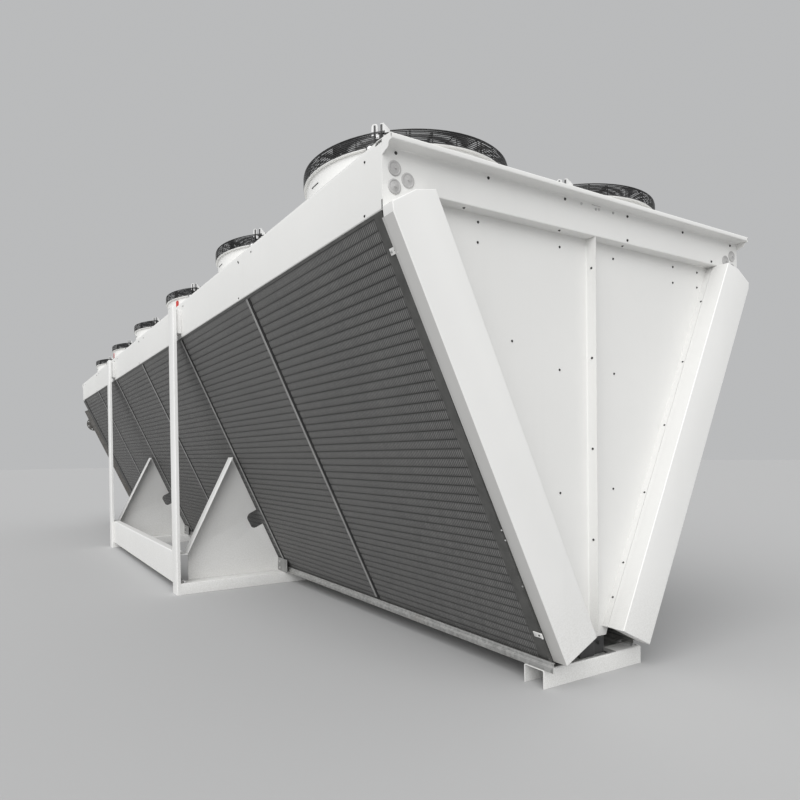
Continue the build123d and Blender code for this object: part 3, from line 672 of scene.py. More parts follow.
for end, word in ((-1, "near"), (1, "far")):
    ys = YN + SETBACK if end < 0 else YF - SETBACK
    s = Shape()
    foot = 0.115 if end < 0 else 0.1781
    for side in (-1, 1):
        inner = side * 0.0004
        s.prism(
            [(inner, 0.165), (side * foot, 0.165), (side * 1.044, Z_BEAM), (inner, Z_BEAM)],
            along_y, ys, ys - end * T,
        )
        # folded flange of this half along the middle, with a round bend at its root
        root = 0.006
        levels = [(0.206, SETBACK), (Z_BEAM - 0.0005, SETBACK)]
        prof = []
        for k in range(5):
            a = pi / 2 * k / 4
            prof.append((side * (T * 0.5 + root - root * sin(a)), root - root * cos(a)))
        verts = []
        for z, reach in levels:
            line = [(side * (T * 0.5 + root), 0.0)] + [(x, d) for x, d in prof] + [(side * T * 0.5, reach), (inner, reach), (inner, 0.0)]
            verts += [(x, ys + end * d, z) for x, d in line]
        n = len(verts) // 2
        faces = [[i, (i + 1) % n, n + (i + 1) % n, n + i] for i in range(n)] + [list(range(n))[::-1], list(range(n, 2 * n))]
        s.put(verts, faces)
    if end < 0:
        # flanges that carry on the covers' inner returns, in the inner returns' duller coat as painted shade
        for side in (-1, 1):
            p0, p1 = (Vector((side * x, z)) for x, z in (PROFILE[2], PROFILE[3]))
            d = (p1 - p0).normalized()
            nrm = Vector((side, 0)) - d * (side * d.x)
            nrm.normalize()
            p0, p1 = p0 - nrm * 0.0004, p1 - nrm * 0.0004
            q = [p0, p1, p1 + nrm * T, p0 + nrm * T]
            s.prism([(p.x, p.y) for p in q], along_y, YN + 0.0232, ys, 1)
    s.make("vee_sheet_" + word, [M_INSIDE, M_INNER_SHADED], ["end_panel_" + word], "white_cover")

# ---------------------------------------------------------------- side frames
for num, y0 in enumerate(FRAMES, start=1):
    y1 = y0 + FRAME_W
    for side, word in ((-1, "left"), (1, "right")):
        s = Shape()
        s.fold(
            [(side * POST_IN, y0), (side * POST_X, y0), (side * POST_X, y1), (side * POST_IN, y1)],
            along_z, 0.0, POST_TOP, thick=0.004, radius=0.008, turn=1 if side > 0 else -1,
        )
        s.make(f"post_folded_{word}_{num}", [M_FRAME], [f"post_{word}_{num}"], "white_frame")

for side, word in ((-1, "left"), (1, "right")):
    s = Shape()
    xw = side * (POST_IN - 0.0005)
    ya, yb = FRAMES[0] + 0.014, FRAMES[1] + FRAME_W - 0.014
    cut = [(ya, FRAMES[0] + FRAME_W + 0.002, 0.085), (FRAMES[0] + FRAME_W + 0.002, FRAMES[1] - 0.002, 0.058), (FRAMES[1] - 0.002, yb, 0.085)]
    for a, b, low in cut:
        s.fold(
            [(xw - side * 0.062, 0.303), (xw, 0.303), (xw, low)],
            along_y, a, b, thick=0.004, radius=0.010, turn=1 if side < 0 else -1, steps=6,
        )
    s.make("rail_folded_" + word, [M_FRAME], ["side_rail_" + word], "white_frame")

for end, word, y0 in ((-1, "near", YN + 0.022), (1, "far", YF - 0.022 - 0.117)):
    s = Shape()
    s.fold(
        [(y0, 0.0), (y0, 0.084), (y0 + 0.117, 0.084), (y0 + 0.117, 0.0)],
        along_x, -0.331, 0.331, thick=0.005, radius=0.009, turn=-1,
    )
    s.make("foot_folded_" + word, [M_FRAME], ["end_foot_" + word], "white_frame")

# ---------------------------------------------------------------- bottom rails
for side, word in ((-1, "left"), (1, "right")):
    s = Shape()
    y_lip, y_floor = (YN - 0.028, YN + 0.024) if side < 0 else (YN + 0.060, YN + 0.095)
    lip = [(side * 0.331, 0.108), (side * 0.326, 0.112), (side * 0.326, 0.128), (side * 0.317, 0.128)]
    s.fold(
        [(side * 0.331, 0.0845)] + lip, along_y, y_lip, y_floor,
        radius=0.0036, turn=1 if side > 0 else -1, steps=3,
    )
    s.fold(
        [(side * 0.150, 0.084), (side * 0.331, 0.084)] + lip, along_y, y_floor, YF - 0.006,
        radius=0.0036, turn=1 if side > 0 else -1, steps=3,
    )
    s.make("trough_folded_" + word, [M_GALV], ["coil_bottom_rail_" + word], "galvanised_sheet")

# --------------------------------------------------------------------- coils
ROWS = 45
for side, word in ((-1, "left"), (1, "right")):
    s = Shape()
    pitch = ROW
    # crowned bands between the rows' gaps
    pts = []
    start = 0.016
    pts.append((start, 0.0035))
    for k in range(ROWS):
        g = ROW_AT + (k + 1) * ROW
        if k:
            pts += [(g - pitch + 0.0030, 0.0014), (g - pitch + 0.009, 0.0003), (g - pitch / 2, 0.0), (g - 0.009, 0.0003), (g - 0.0030, 0.0014)]
        pts += [(g - 0.0012, 0.0022), (g + 0.0012, 0.0022)]
    pts.append((SLOPE - 0.001, 0.0035))
    outer = [face(side, d, 0, dep) for d, dep in pts]
    inner = [face(side, d, 0, COIL_T - dep) for d, dep in pts]
    outline = [(p[0], p[2]) for p in outer] + [(p[0], p[2]) for p in reversed(inner)]
    n = len(outline)
    for i in range(BAYS):
        ya = YN + i * PITCH + (0.070 if i == 0 else 0.030)
        yb = YN + (i + 1) * PITCH - (0.030 if i == BAYS - 1 else 0.0218)
        m = len(pts)
        verts = [(u, ya, v) for u, v in outline] + [(u, yb, v) for u, v in outline]
        faces = [[q, (q + 1) % n, n + (q + 1) % n, n + q] for q in range(n)]
        for q in range(m - 1):
            faces.append([q + 1, q, n - 1 - q, n - 2 - q])
            faces.append([n + q, n + q + 1, 2 * n - 2 - q, 2 * n - 1 - q])
        s.put(verts, faces, 0)
    # casing between the bays and at the two ends
    spans = [(YN + 0.016, YN + 0.0705)] + [(YN + i * PITCH - 0.0223, YN + i * PITCH + 0.0305) for i in range(1, BAYS)] + [(COIL_END - 0.0305, COIL_END - 0.0045)]
    for a, b in spans:
        quad = [face(side, 0.0155, 0, 0.0012), face(side, SLOPE - 0.0005, 0, 0.0012), face(side, SLOPE - 0.0005, 0, COIL_T - 0.0012), face(side, 0.0155, 0, COIL_T - 0.0012)]
        s.prism([(p[0], p[2]) for p in quad], along_y, a, b, 1)
    quad = [face(side, 0.0025, 0, 0.003), face(side, 0.0152, 0, 0.003), face(side, 0.0152, 0, 0.030), face(side, 0.0025, 0, 0.030)]
    s.prism([(p[0], p[2]) for p in quad], along_y, YN + 0.016, COIL_END - 0.0045, 1)
    s.make("fin_block_" + word, [M_FINS, M_CASING], ["coil_" + word], "coil_fins", smooth=45)

    # divider bars: a dark gap, then a folded strip
    s = Shape()
    for i in range(1, BAYS):
        yb = YN + i * PITCH - 0.006
        for a, b, hgt, mt in ((yb + 0.0100, yb + 0.0310, 0.006, 0),):
            corner = [face(side, 0.017, 0, 0.0), face(side, SLOPE - 0.030, 0, 0.0), face(side, SLOPE - 0.030, 0, -hgt), face(side, 0.017, 0, -hgt)]
            p0, p1, p2, p3 = (Vector((c[0], 0, c[2])) for c in corner)
            c = 0.0025
            up = (p3 - p0).normalized()
            verts = []
            for base_, top_ in ((p0, p3), (p1, p2)):
                for yy, hh in ((a, 0.0), (a, hgt - c), (a + c, hgt), (b - c, hgt), (b, hgt - c), (b, 0.0)):
                    q = base_ + up * hh
                    verts.append((q.x, yy, q.z))
            faces = [[q, (q + 1) % 6, 6 + (q + 1) % 6, 6 + q] for q in range(6)] + [[5, 4, 3, 2, 1, 0], [6, 7, 8, 9, 10, 11]]
            s.put(verts, faces, mt, [0, 1, 0, 1, 0, 0, 0, 0])
        # low packing in the gap, painted near black: black packing and painted shade deep in the gap
        quad = [face(side, 0.018, 0, 0.001), face(side, SLOPE - 0.031, 0, 0.001), face(side, SLOPE - 0.031, 0, -0.0026), face(side, 0.018, 0, -0.0026)]
        s.prism([(p[0], p[2]) for p in quad], along_y, yb - 0.0155, yb + 0.0098, 1)
    # the same packing, with its painted shade, where the last bay's fins end
    s.prism([(p[0], p[2]) for p in quad], along_y, COIL_END - 0.0290, COIL_END - 0.0070, 1)
    s.make("divider_bars_" + word, [M_BAR, M_CORE], ["coil_dividers_" + word], "divider_bar")

# ----------------------------------------------------------------------- fans
cowl = Shape()
SEG = 96
# wall plate: square outside, round throat inside
zt, zb = Z_DECK, Z_DECK - T
h = PLATE / 2
sq = []
for k in range(SEG):
    t = 2 * pi * k / SEG
    c, d = cos(t), sin(t)
    m_ = max(abs(c), abs(d))
    sq.append((h * c / m_, h * d / m_))
r_out = COWL_R - 0.001
verts = []
for z in (zt, zb):
    verts += [(x, y, z) for x, y in sq]
    rr = r_out if z == zt else THROAT + 0.001
    verts += [(rr * cos(2 * pi * k / SEG), rr * sin(2 * pi * k / SEG), z) for k in range(SEG)]
faces = []
for k in range(SEG):
    q = (k + 1) % SEG
    faces += [[k, q, SEG + q, SEG + k], [2 * SEG + q, 2 * SEG + k, 3 * SEG + k, 3 * SEG + q], [q, k, 2 * SEG + k, 2 * SEG + q], [SEG + k, SEG + q, 3 * SEG + q, 3 * SEG + k]]
cowl.put(verts, faces)
# drawn throat and rolled cowl, one closed section
prof, wear_and_highlight = [], []
prof += [(THROAT, zb), (THROAT, Z_DECK + 0.060)]
for k in range(1, 9):
    t = k / 8
    prof.append((THROAT + (COWL_R - T - 0.004 - THROAT) * (t * t * (3 - 2 * t)), Z_DECK + 0.060 + (Z_COWL - 0.010 - Z_DECK - 0.060) * t))
for k in range(0, 7):
    a = pi * k / 6
    prof.append((COWL_R - 0.0035 - 0.0035 * cos(a), Z_COWL - 0.004 + 0.004 * sin(a)))
prof += [(COWL_R, Z_COWL - 0.012), (COWL_R, Z_DECK + 0.010), (COWL_R + 0.002, Z_DECK + 0.004), (COWL_R + 0.006, Z_DECK + 0.0005), (COWL_R - 0.003, Z_DECK - 0.001), (COWL_R - 0.003, Z_COWL - 0.016)]
for k in range(8, 0, -1):
    t = k / 8
    prof.append((THROAT + 0.003 + (COWL_R - T - 0.004 - THROAT - 0.003) * (t * t * (3 - 2 * t)) * 0.999, Z_DECK + 0.057 + (Z_COWL - 0.014 - Z_DECK - 0.060) * t))
prof += [(THROAT + 0.003, Z_DECK + 0.055), (THROAT + 0.003, zb)]
# rolled rim marked for rubbed paint and a painted highlight
wear_and_highlight = [1.0 if (Z_COWL - 0.011 < z) else 0.0 for r, z in prof]
cowl.lathe((0, 0, 0), prof, SEG, 0, wear_and_highlight)
# rolled bead that the guard stands on
bead = [(COWL_R - 0.0008, Z_SKIRT - 0.0062), (COWL_R + 0.0110, Z_SKIRT - 0.0062)]
for k in range(1, 6):
    a = -pi / 2 + pi * k / 6
    bead.append((COWL_R + 0.0110 + 0.0028 * cos(a), Z_SKIRT - 0.0034 + 0.0028 * sin(a)))
bead += [(COWL_R + 0.0110, Z_SKIRT - 0.0006), (COWL_R - 0.0008, Z_SKIRT - 0.0006)]
cowl.lathe((0, 0, 0), bead, SEG, 0)
# vertical lap of the rolled band, with its screws
for ang in (radians(98),):
    c, d = cos(ang), sin(ang)
    cowl.block(((COWL_R + 0.0008) * c, (COWL_R + 0.0008) * d, (Z_DECK + Z_COWL) / 2), (0.003, 0.030, 0.176), 0.001, 0,
               (Vector((c, d, 0)), Vector((-d, c, 0)), Vector((0, 0, 1))))
    for z in (2.205, 2.245, 2.285, 2.325):
        cowl.screw(((COWL_R + 0.0022) * c, (COWL_R + 0.0022) * d, z), (c, d, 0), 0.004, 1)
# slot in the band
for ang in (radians(177), radians(357)):
    arc = []
    for k in range(5):
        a = ang + radians(-4.2 + 8.4 * k / 4)
        arc.append(((COWL_R - 0.0005) * cos(a), (COWL_R - 0.0005) * sin(a), 2.300))
    cowl.tube(arc, 0.0034, 6, 2)
# screws along the wall plate's edge
for k in range(4):
    for u in (-0.36, -0.12, 0.12, 0.36):
        for sgn in ((0, 1), (0, -1), (1, 0), (-1, 0))[k:k + 1]:
            px, py = (u, sgn[1] * (h - 0.018)) if sgn[0] == 0 else (sgn[0] * (h - 0.018), u)
            cowl.screw((px, py, Z_DECK), (0, 0, 1), 0.0045, 1)

guard = Shape()
W = 0.0023
for z in [Z_SKIRT + 0.0030 + 0.0078 * k for k in range(7)]:
    guard.ring((0, 0, z), GUARD_R - 0.0028, W, 90, 5)
guard.ring((0, 0, Z_GUARD - 0.0052), GUARD_R - 0.0050, W, 90, 5)
guard.ring((0, 0, Z_GUARD - 0.0030), GUARD_R - 0.0135, W, 84, 5)
r = GUARD_R - 0.029
while r > 0.128:
    guard.ring((0, 0, Z_GUARD - 0.0028), r, 0.0021, 72 if r > 0.3 else 48, 4)
    r -= 0.0118
for k in range(28):
    a = radians(-8 + 360 / 28 * k)
    c, d = cos(a), sin(a)
    path = [(0.110, Z_GUARD - 0.0072), (GUARD_R - 0.022, Z_GUARD - 0.0072), (GUARD_R - 0.012, Z_GUARD - 0.0098), (GUARD_R - 0.0078, Z_GUARD - 0.018), (GUARD_R - 0.0076, Z_SKIRT + 0.001)]
    guard.tube([(r_ * c, r_ * d, z) for r_, z in path], 0.0024, 5)
for deg, wide in [(v, 1) for v in (38, 78, 118, 158, 198, 318, 358)] + [(v, 0) for v in (238, 278)]:
    a = radians(deg)
    c, d = cos(a), sin(a)
    ax = (Vector((c, d, 0)), Vector((-d, c, 0)), Vector((0, 0, 1)))
    guard.block(((GUARD_R - 0.0105) * c, (GUARD_R - 0.0105) * d, (Z_SKIRT + Z_GUARD) / 2 - 0.002), (0.0035, 0.044 if wide else 0.008, Z_GUARD - Z_SKIRT - 0.006), 0.001, 1, ax)
    guard.block(((GUARD_R - 0.020) * c, (GUARD_R - 0.020) * d, Z_COWL + 0.002), (0.018, 0.030 if wide else 0.008, 0.004), 0.001, 1, ax)
    if wide:
        guard.screw(((GUARD_R - 0.020) * c, (GUARD_R - 0.020) * d, Z_COWL + 0.004), (0, 0, 1), 0.005, 2)
for k in range(7):
    a = radians(-8 + 360 / 7 * k)
    c, d = cos(a), sin(a)
    ax = (Vector((c, d, 0)), Vector((-d, c, 0)), Vector((0, 0, 1)))
    guard.block((0.302 * c, 0.302 * d, Z_GUARD - 0.0165), (0.395, 0.006, 0.018), 0.001, 1, ax)
guard.lathe((0, 0, Z_GUARD - 0.0085), [(0.060, 0.0), (0.125, 0.0), (0.127, 0.0015), (0.127, 0.004), (0.120, 0.0062), (0.064, 0.0062), (0.060, 0.004)], 48, 1)
for k in range(8):
    a = radians(22.5 + 45 * k)
    guard.bolt((0.094 * cos(a), 0.094 * sin(a), Z_GUARD - 0.0026), (0, 0, 1), 0.0028, 2)

motor = Shape()
zm0, zm1 = Z_DECK + 0.128, Z_GUARD - 0.0085
motor.lathe((0, 0, 0), [(0.050, zm0), (0.084, zm0 + 0.001), (0.088, zm0 + 0.006), (0.088, zm1 - 0.012), (0.080, zm1 - 0.004), (0.040, zm1)], 40, 0, closed=False)
for k in range(36):
    a = 2 * pi * k / 36
    c, d = cos(a), sin(a)
    motor.block((0.0925 * c, 0.0925 * d, (zm0 + zm1) / 2), (0.0095, 0.0026, zm1 - zm0 - 0.012), 0.0006, 0,
                (Vector((c, d, 0)), Vector((-d, c, 0)), Vector((0, 0, 1))))
motor.lathe((0, 0, zm1 - 0.001), [(0.050, 0.0), (0.055, 0.002), (0.052, 0.0055), (0.020, 0.0072)], 32, 0, closed=False)

wheel = Shape()
zh0, zh1 = Z_DECK + 0.030, Z_DECK + 0.126
wheel.lathe((0, 0, 0), [(0.030, zh0), (0.100, zh0 + 0.0008), (0.118, zh0 + 0.006), (0.1245, zh0 + 0.018), (0.1245, zh1 - 0.010), (0.118, zh1 - 0.002), (0.100, zh1), (0.095, zh1 - 0.004), (0.030, zh1 - 0.004)], 56, 0, closed=False)
for k in range(12):
    a = 2 * pi * k / 12
    c, d = cos(a), sin(a)
    wheel.block((0.062 * c, 0.062 * d, zh0 - 0.0005), (0.070, 0.004, 0.004), 0.0008, 0,
                (Vector((c, d, 0)), Vector((-d, c, 0)), Vector((0, 0, 1))))
NR, NC = 12, 8
for b in range(7):
    base = 2 * pi * b / 7
    top, bot = [], []
    for i in range(NR + 1):
        t = i / NR
        r_ = 0.121 + (0.445 - 0.121) * t
        chord = 0.135 + 0.085 * t
        pitch_a = radians(40 - 21 * t ** 0.8)
        sweep = radians(-9 + 30 * t * t)
        for j in range(NC + 1):
            u = j / NC - 0.5
            if t > 0.93:
                u *= 1 - 0.12 * (t - 0.93) / 0.07
            arc = u * chord * cos(pitch_a) / r_
            z = Z_DECK + 0.078 + u * chord * sin(pitch_a) + 0.010 * (1 - 4 * u * u)
            z = min(max(z, Z_DECK + 0.0335), Z_DECK + 0.1225)
            thick = 0.0035 * (1 - (2 * abs(u)) ** 2.5) + 0.0010
            ang = base + sweep + arc
            top.append((r_ * cos(ang), r_ * sin(ang), z + thick))
            bot.append((r_ * cos(ang), r_ * sin(ang), z - thick))
    n = (NR + 1) * (NC + 1)
    faces = []
    idx = lambda i, j: i * (NC + 1) + j
    for i in range(NR):
        for j in range(NC):
            faces.append([idx(i, j), idx(i + 1, j), idx(i + 1, j + 1), idx(i, j + 1)])
            faces.append([n + idx(i, j + 1), n + idx(i + 1, j + 1), n + idx(i + 1, j), n + idx(i, j)])
    for i in range(NR):
        faces.append([idx(i + 1, 0), idx(i, 0), n + idx(i, 0), n + idx(i + 1, 0)])
        faces.append([idx(i, NC), idx(i + 1, NC), n + idx(i + 1, NC), n + idx(i, NC)])
    for j in range(NC):
        faces.append([idx(0, j), idx(0, j + 1), n + idx(0, j + 1), n + idx(0, j)])
        faces.append([idx(NR, j + 1), idx(NR, j), n + idx(NR, j), n + idx(NR, j + 1)])
    wheel.put(top + bot, faces)

bracket = Shape()
bx = GUARD_R + 0.002
plate = [(-0.054, Z_FOOT - 0.005), (-0.052, Z_FOOT - 0.0065), (0.038, Z_FOOT - 0.0065), (0.040, Z_FOOT - 0.005), (0.040, Z_FOOT + 0.0285), (0.038, Z_FOOT + 0.0305), (-0.048, Z_FOOT + 0.0305), (-0.054, Z_FOOT + 0.0245)]
bracket.prism(plate, along_x, bx, bx + 0.004)
bracket.block(((COWL_R + bx + 0.004) / 2, -0.007, Z_FOOT - 0.004), (bx + 0.004 - COWL_R, 0.092, 0.005), 0.001)
bracket.block((bx + 0.002, 0, Z_BAR - 0.001), (0.0042, 0.060, 0.010), 0.001)
for mid in (-0.015, 0.015):
    bracket.block((bx + 0.0022, mid, (Z_FOOT + Z_BRACKET - 0.006) / 2), (0.0046, 0.009, Z_BRACKET - 0.006 - Z_FOOT), 0.0012)
    bracket.block((bx + 0.009, mid, Z_FOOT + 0.042), (0.012, 0.004, 0.066), 0.001)
tab = [(-0.029, Z_BRACKET - 0.050)]
for k in range(13):
    a = pi - pi * k / 12
    tab.append((-0.015 + 0.014 * cos(a), Z_BRACKET - 0.014 + 0.014 * sin(a)))
tab.append((-0.001, Z_BRACKET - 0.050))
bracket.prism(tab, along_x, bx + 0.0002, bx + 0.0032, 2)
bracket.prism([(0.0105, Z_BAR - 0.006), (0.0105, Z_BRACKET - 0.003), (0.012, Z_BRACKET - 0.001), (0.024, Z_BRACKET - 0.001), (0.052, Z_BAR + 0.003), (0.052, Z_BAR - 0.006)], along_x, bx + 0.0002, bx + 0.0032, 2)
bracket.bolt((bx + 0.004, -0.038, Z_FOOT + 0.013), (1, 0, 0), 0.0062, 1)
bracket.bolt((bx + 0.004, 0.031, Z_FOOT + 0.010), (1, 0, 0), 0.0050, 1)
for y_, z_ in ((-0.004, Z_FOOT + 0.060), (0.030, Z_FOOT + 0.052)):
    bracket.block((bx - 0.001, y_, z_), (0.003, 0.016, 0.020), 0.001, 2)
    bracket.bolt((bx + 0.0005, y_, z_), (1, 0, 0), 0.0036, 1)

for word, fans in (("left", FANS[:BAYS]), ("right", FANS[BAYS:])):
    a, g = Shape(), Shape()
    for x, y in fans:
        a.copy_of(cowl, (x, y, 0))
        g.copy_of(guard, (x, y, 0))
    a.make("cowls_rolled_" + word, [M_PANEL, M_ZINC, M_SEAM], ["fan_cowls_" + word], "white_panel")
    g.make("guards_wire_" + word, [M_WIRE, M_BRACKET, M_ZINC], ["fan_guards_" + word], "guard_wire", smooth=50)
mo, wh, br = Shape(), Shape(), Shape()
for k, (x, y) in enumerate(FANS):
    mo.copy_of(motor, (x, y, 0))
    wh.copy_of(wheel, (x, y, 0), radians(17 * k))
    br.copy_of(bracket, (x, y, 0), radians(222.8))
mo.make("motors_ribbed", [M_MOTOR], ["fan_motors"], "motor_housing")
wh.make("wheels_bladed", [M_ROTOR], ["fan_impellers"], "impeller_plastic", smooth=50)
br.make("brackets_terminal", [M_BRACKET, M_ZINC, M_TABGREY], ["fan_brackets"], "bracket_steel")

# ------------------------------------------------ nodes kept with eased edges
def soften(name, mats, width=0.0015, pick=None, angle=35):
    """A copy of a node's own mesh with its edges eased."""
    src = frame["nodes"][name]
    me = src.data.copy()
    me.name = name + "_eased"
    bm = bmesh.new()
    bm.from_mesh(me)
    bmesh.ops.remove_doubles(bm, verts=bm.verts[:], dist=1e-6)
    bmesh.ops.dissolve_limit(bm, angle_limit=radians(0.6), verts=bm.verts[:], edges=bm.edges[:], delimit={"NORMAL"})
    edges = [e for e in bm.edges if len(e.link_faces) == 2 and e.calc_face_angle(0) > radians(angle) and e.calc_length() > width * 2.2]
    old = len(bm.faces)
    res = bmesh.ops.bevel(bm, geom=edges, offset=width, offset_type="OFFSET", segments=2, profile=0.6, affect="EDGES", clamp_overlap=True)
    fresh = {f.index for f in res["faces"]} if False else set(res["faces"])
    bmesh.ops.triangulate(bm, faces=[f for f in bm.faces if len(f.verts) > 4])
    bm.faces.index_update()
    # bevel faces marked for rubbed paint and a painted highlight
    layer = bm.faces.layers.float.new("wear_and_highlight")
    for f in bm.faces:
        f[layer] = 1.0 if f in fresh else 0.0
        f.material_index = pick(f.calc_center_median()) if pick else 0
    bmesh.ops.recalc_face_normals(bm, faces=bm.faces[:])
    bm.to_mesh(me)
    bm.free()
    me.materials.clear()
    for mt in mats:
        me.materials.append(mt)
    me.shade_smooth()
    me.set_sharp_from_angle(angle=radians(40))
    ob = bpy.data.objects.new(name + "_eased", me)
    bpy.context.scene.collection.objects.link(ob)
    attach(ob, "root")
    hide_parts(name)
    return ob


for n in (1, 2):
    soften(f"base_beam_{n}", [M_FRAME], 0.0022)
    for word in ("left", "right"):
        y1 = FRAMES[n - 1] + FRAME_W
        soften(
            f"gusset_{word}_{n}", [M_FRAME, M_SHADE], 0.0018,
            pick=lambda c, y1=y1: 1 if abs(abs(c.x) - 0.349) < 0.006 and c.z < 0.195 and c.y < y1 - 0.006 else 0,
        )
for word in ("left", "right"):
    soften("coil_end_casing_" + word, [M_END], 0.0015)
soften("post_packers", [M_FRAME], 0.002)

# ------------------------------------------------------------- small fixings
BEAM_SCREWS = [(-1.09, 2.139), (-0.642, 2.142), (-0.199, 2.143), (-0.094, 2.142), (0.002, 2.135), (0.023, 2.138), (0.121, 2.140), (0.224, 2.142), (0.657, 2.139), (1.083, 2.138), (0.223, 2.030), (0.908, 2.028)]
VEE_SCREWS = [(-0.653, 1.980), (-0.656, 1.897), (-0.177, 1.952), (-0.471, 1.509), (-0.184, 1.403), (0.187, 1.952), (0.188, 1.405), (0.654, 1.978), (0.653, 1.897), (0.864, 1.977), (0.863, 1.898), (-0.186, 0.850), (0.176, 0.855)]
UNDER_SCREWS = [(-0.747, 0.028), (-0.209, 0.024), (0.226, 0.029)]
SIDE_SCREWS = [(0.121, 2.141), (0.127, 1.940), (1.325, 2.147), (1.554, 2.149)]

near, far = Shape(), Shape()
for s, y0, out in ((near, YN, -1), (far, YF, 1)):
    flip = 1 if out < 0 else -1
    for x, z in BEAM_SCREWS:
        s.screw((flip * x, y0, z), (0, out, 0), 0.0052, 1 if -0.1 < x < 0.13 else 0)
    for x, z in VEE_SCREWS:
        if out < 0 or abs(x) < 0.9:
            s.screw((flip * x, y0 - out * SETBACK, z), (0, out, 0), 0.0046)
    for x, d in UNDER_SCREWS:
        s.screw((flip * x, y0 - out * d, Z_BEAM), (0, 0, -1), 0.0048)
for z in (1.875, 1.464, 1.047, 0.628):
    near.screw((-0.0015, YN + 0.024, z), (-1, 0, 0), 0.0046)
    far.screw((0.0015, YF - 0.024, z), (1, 0, 0), 0.0046)
for side in (-1, 1):
    for d, z in ((0.029, 1.819), (0.033, 1.492), (0.032, 1.163), (0.034, 0.830), (0.038, 0.498), (0.040, 0.340)):
        x = 0.955 - (2.012 - z) * 0.4803
        near.screw((side * (x - 0.0004), YN + d, z + 0.0002), (-side * 0.9014, 0, 0.433), 0.0042, 0)
near.make("screws_near", [M_DARK_SCREW, M_TABGREY])
far.make("screws_far", [M_DARK_SCREW, M_TABGREY])

s = Shape()
for side in (-1, 1):
    for bay in range(BAYS):
        for d, z in SIDE_SCREWS:
            s.screw((side * HALF, YN + bay * PITCH + d if d < 1.4 else YN + bay * PITCH + d - 0.02, z), (side, 0, 0), 0.0042)
s.make("screws_side", [M_DARK_SCREW])

# cable plugs in the beams' corners
s = Shape()
PLUG = [(0.0285, -0.0005), (0.0285, 0.0022), (0.0262, 0.0042), (0.0225, 0.0046), (0.0200, 0.0030), (0.0130, 0.0048), (0.0060, 0.0062), (0.0045, 0.0098), (0.0020, 0.0104)]
for y0, out in ((YN, -1), (YF, 1)):
    for side in (-1, 1):
        for x, z in ((1.097, 2.082), (1.038, 2.049), (1.098, 2.015)):
            nrm = Vector((0, out, 0))
            xa = Vector((0, 0, 1))
            s.lathe((side * x, y0, z), PLUG, 36, 0, axes=(xa, nrm.cross(xa), nrm), closed=False)
s.make("cable_plugs", [M_RUBBER])

# clips from the covers over the coils' margins, rivets and lock holes
clips, marks = Shape(), Shape()
for side in (-1, 1):
    nrm = Vector((side * cos(LEAN), 0, -sin(LEAN)))
    down = Vector((-side * sin(LEAN), 0, -cos(LEAN)))
    yv = Vector((0, 1, 0))
    for d in (0.150, 1.855):
        base = Vector(face(side, d, YN, 0.0))
        clips.block(base + yv * 0.021 + nrm * 0.0022, (0.050, 0.026, 0.003), 0.0008, 0, (yv, down, nrm))
        clips.block(base + yv * -0.002 + nrm * 0.0042, (0.008, 0.026, 0.006), 0.0008, 0, (yv, down, nrm))
        clips.screw(base + yv * 0.036 + nrm * 0.0037, nrm, 0.0048, 1)
        clips.screw(base + yv * 0.013 + nrm * 0.0037, nrm, 0.0036, 2)
    for k, d in enumerate((0.378, 0.608, 0.838, 1.069, 1.299, 1.529, 1.759)):
        base = Vector(face(side, d, YN + 0.030 + 0.006 * (k % 3), 0.0012))
        x = yv
        marks.lathe(base, [(0.0052, -0.0005), (0.0052, 0.0006), (0.0040, 0.0008), (0.0036, 0.0002), (0.001, 0.0002)], 14, 0, axes=(x, nrm.cross(x), nrm), closed=False)
    for d in (1.338, 1.386, 1.609):
        base = Vector(face(side, d, YN + 0.009, 0.0012))
        clips.screw(base, nrm, 0.0034, 1)
clips.make("cover_clips", [M_COVER, M_ZINC, M_DARK_SCREW])
marks.make("margin_holes", [M_SEAM])

# plain tags on two cowls
s = Shape()
for fan, phi, zc in ((2, 199, 2.306), (4, 180, 2.300)):
    fx, fy = FANS[fan]
    d = Vector((cos(radians(phi)), sin(radians(phi)), 0))
    side_v = Vector((-d.y, d.x, 0))
    base = Vector((fx, fy, zc)) + d * (COWL_R + 0.0008)
    line = [(-0.017, -0.032), (0.017, -0.032)]
    for k in range(9):
        a = pi * k / 8
        line.append((0.017 * cos(a), 0.014 + 0.017 * sin(a)))
    s.prism(line, lambda u, v, w, base=base, d=d, side_v=side_v: tuple(base + side_v * u + Vector((0, 0, 1)) * v + d * w), 0.0, 0.003)
s.make("tags_plain", [M_TAG])

# slits: near corner and the joint of the near beam
s = Shape()
s.block((-HALF - 0.0001, YN + 0.0045, 1.944), (0.0012, 0.0050, 0.034), 0.0003, 1)
s.block((0.005, YN - 0.0004, Z_LIP - 0.004), (0.060, 0.0012, 0.0030), 0.0003, 0)
s.make("joint_slits", [M_TABGREY, M_CORE])

# fixings of the side frames
s = Shape()
for y0 in FRAMES:
    for side in (-1, 1):
        for dy in (0.036, 0.100):
            s.bolt((side * 1.150, y0 + dy, 0.084), (0, 0, 1), 0.0090, 0, True)
        for z in (0.110, 0.160):
            s.bolt((side * 0.3529, y0 + FRAME_W - 0.050, z), (side, 0, 0), 0.0050)
for y0 in (YN + 0.022, YF - 0.022 - 0.117):
    for side in (-1, 1):
        for dy in (0.022, 0.095):
            s.block((side * 0.3215, y0 + dy, 0.0868), (0.013, 0.022, 0.0045), 0.001, 0)
            s.bolt((side * 0.300, y0 + dy, 0.087), (0, 0, 1), 0.0060, 0)
s.make("frame_bolts", [M_ZINC])

s = Shape()
for y0 in FRAMES:
    for side in (-1, 1):
        s.block((side * 0.3505, y0 + FRAME_W - 0.098, 0.138), (0.0045, 0.184, 0.104), 0.0012, 0)
s.make("foot_plates", [M_SHADE])

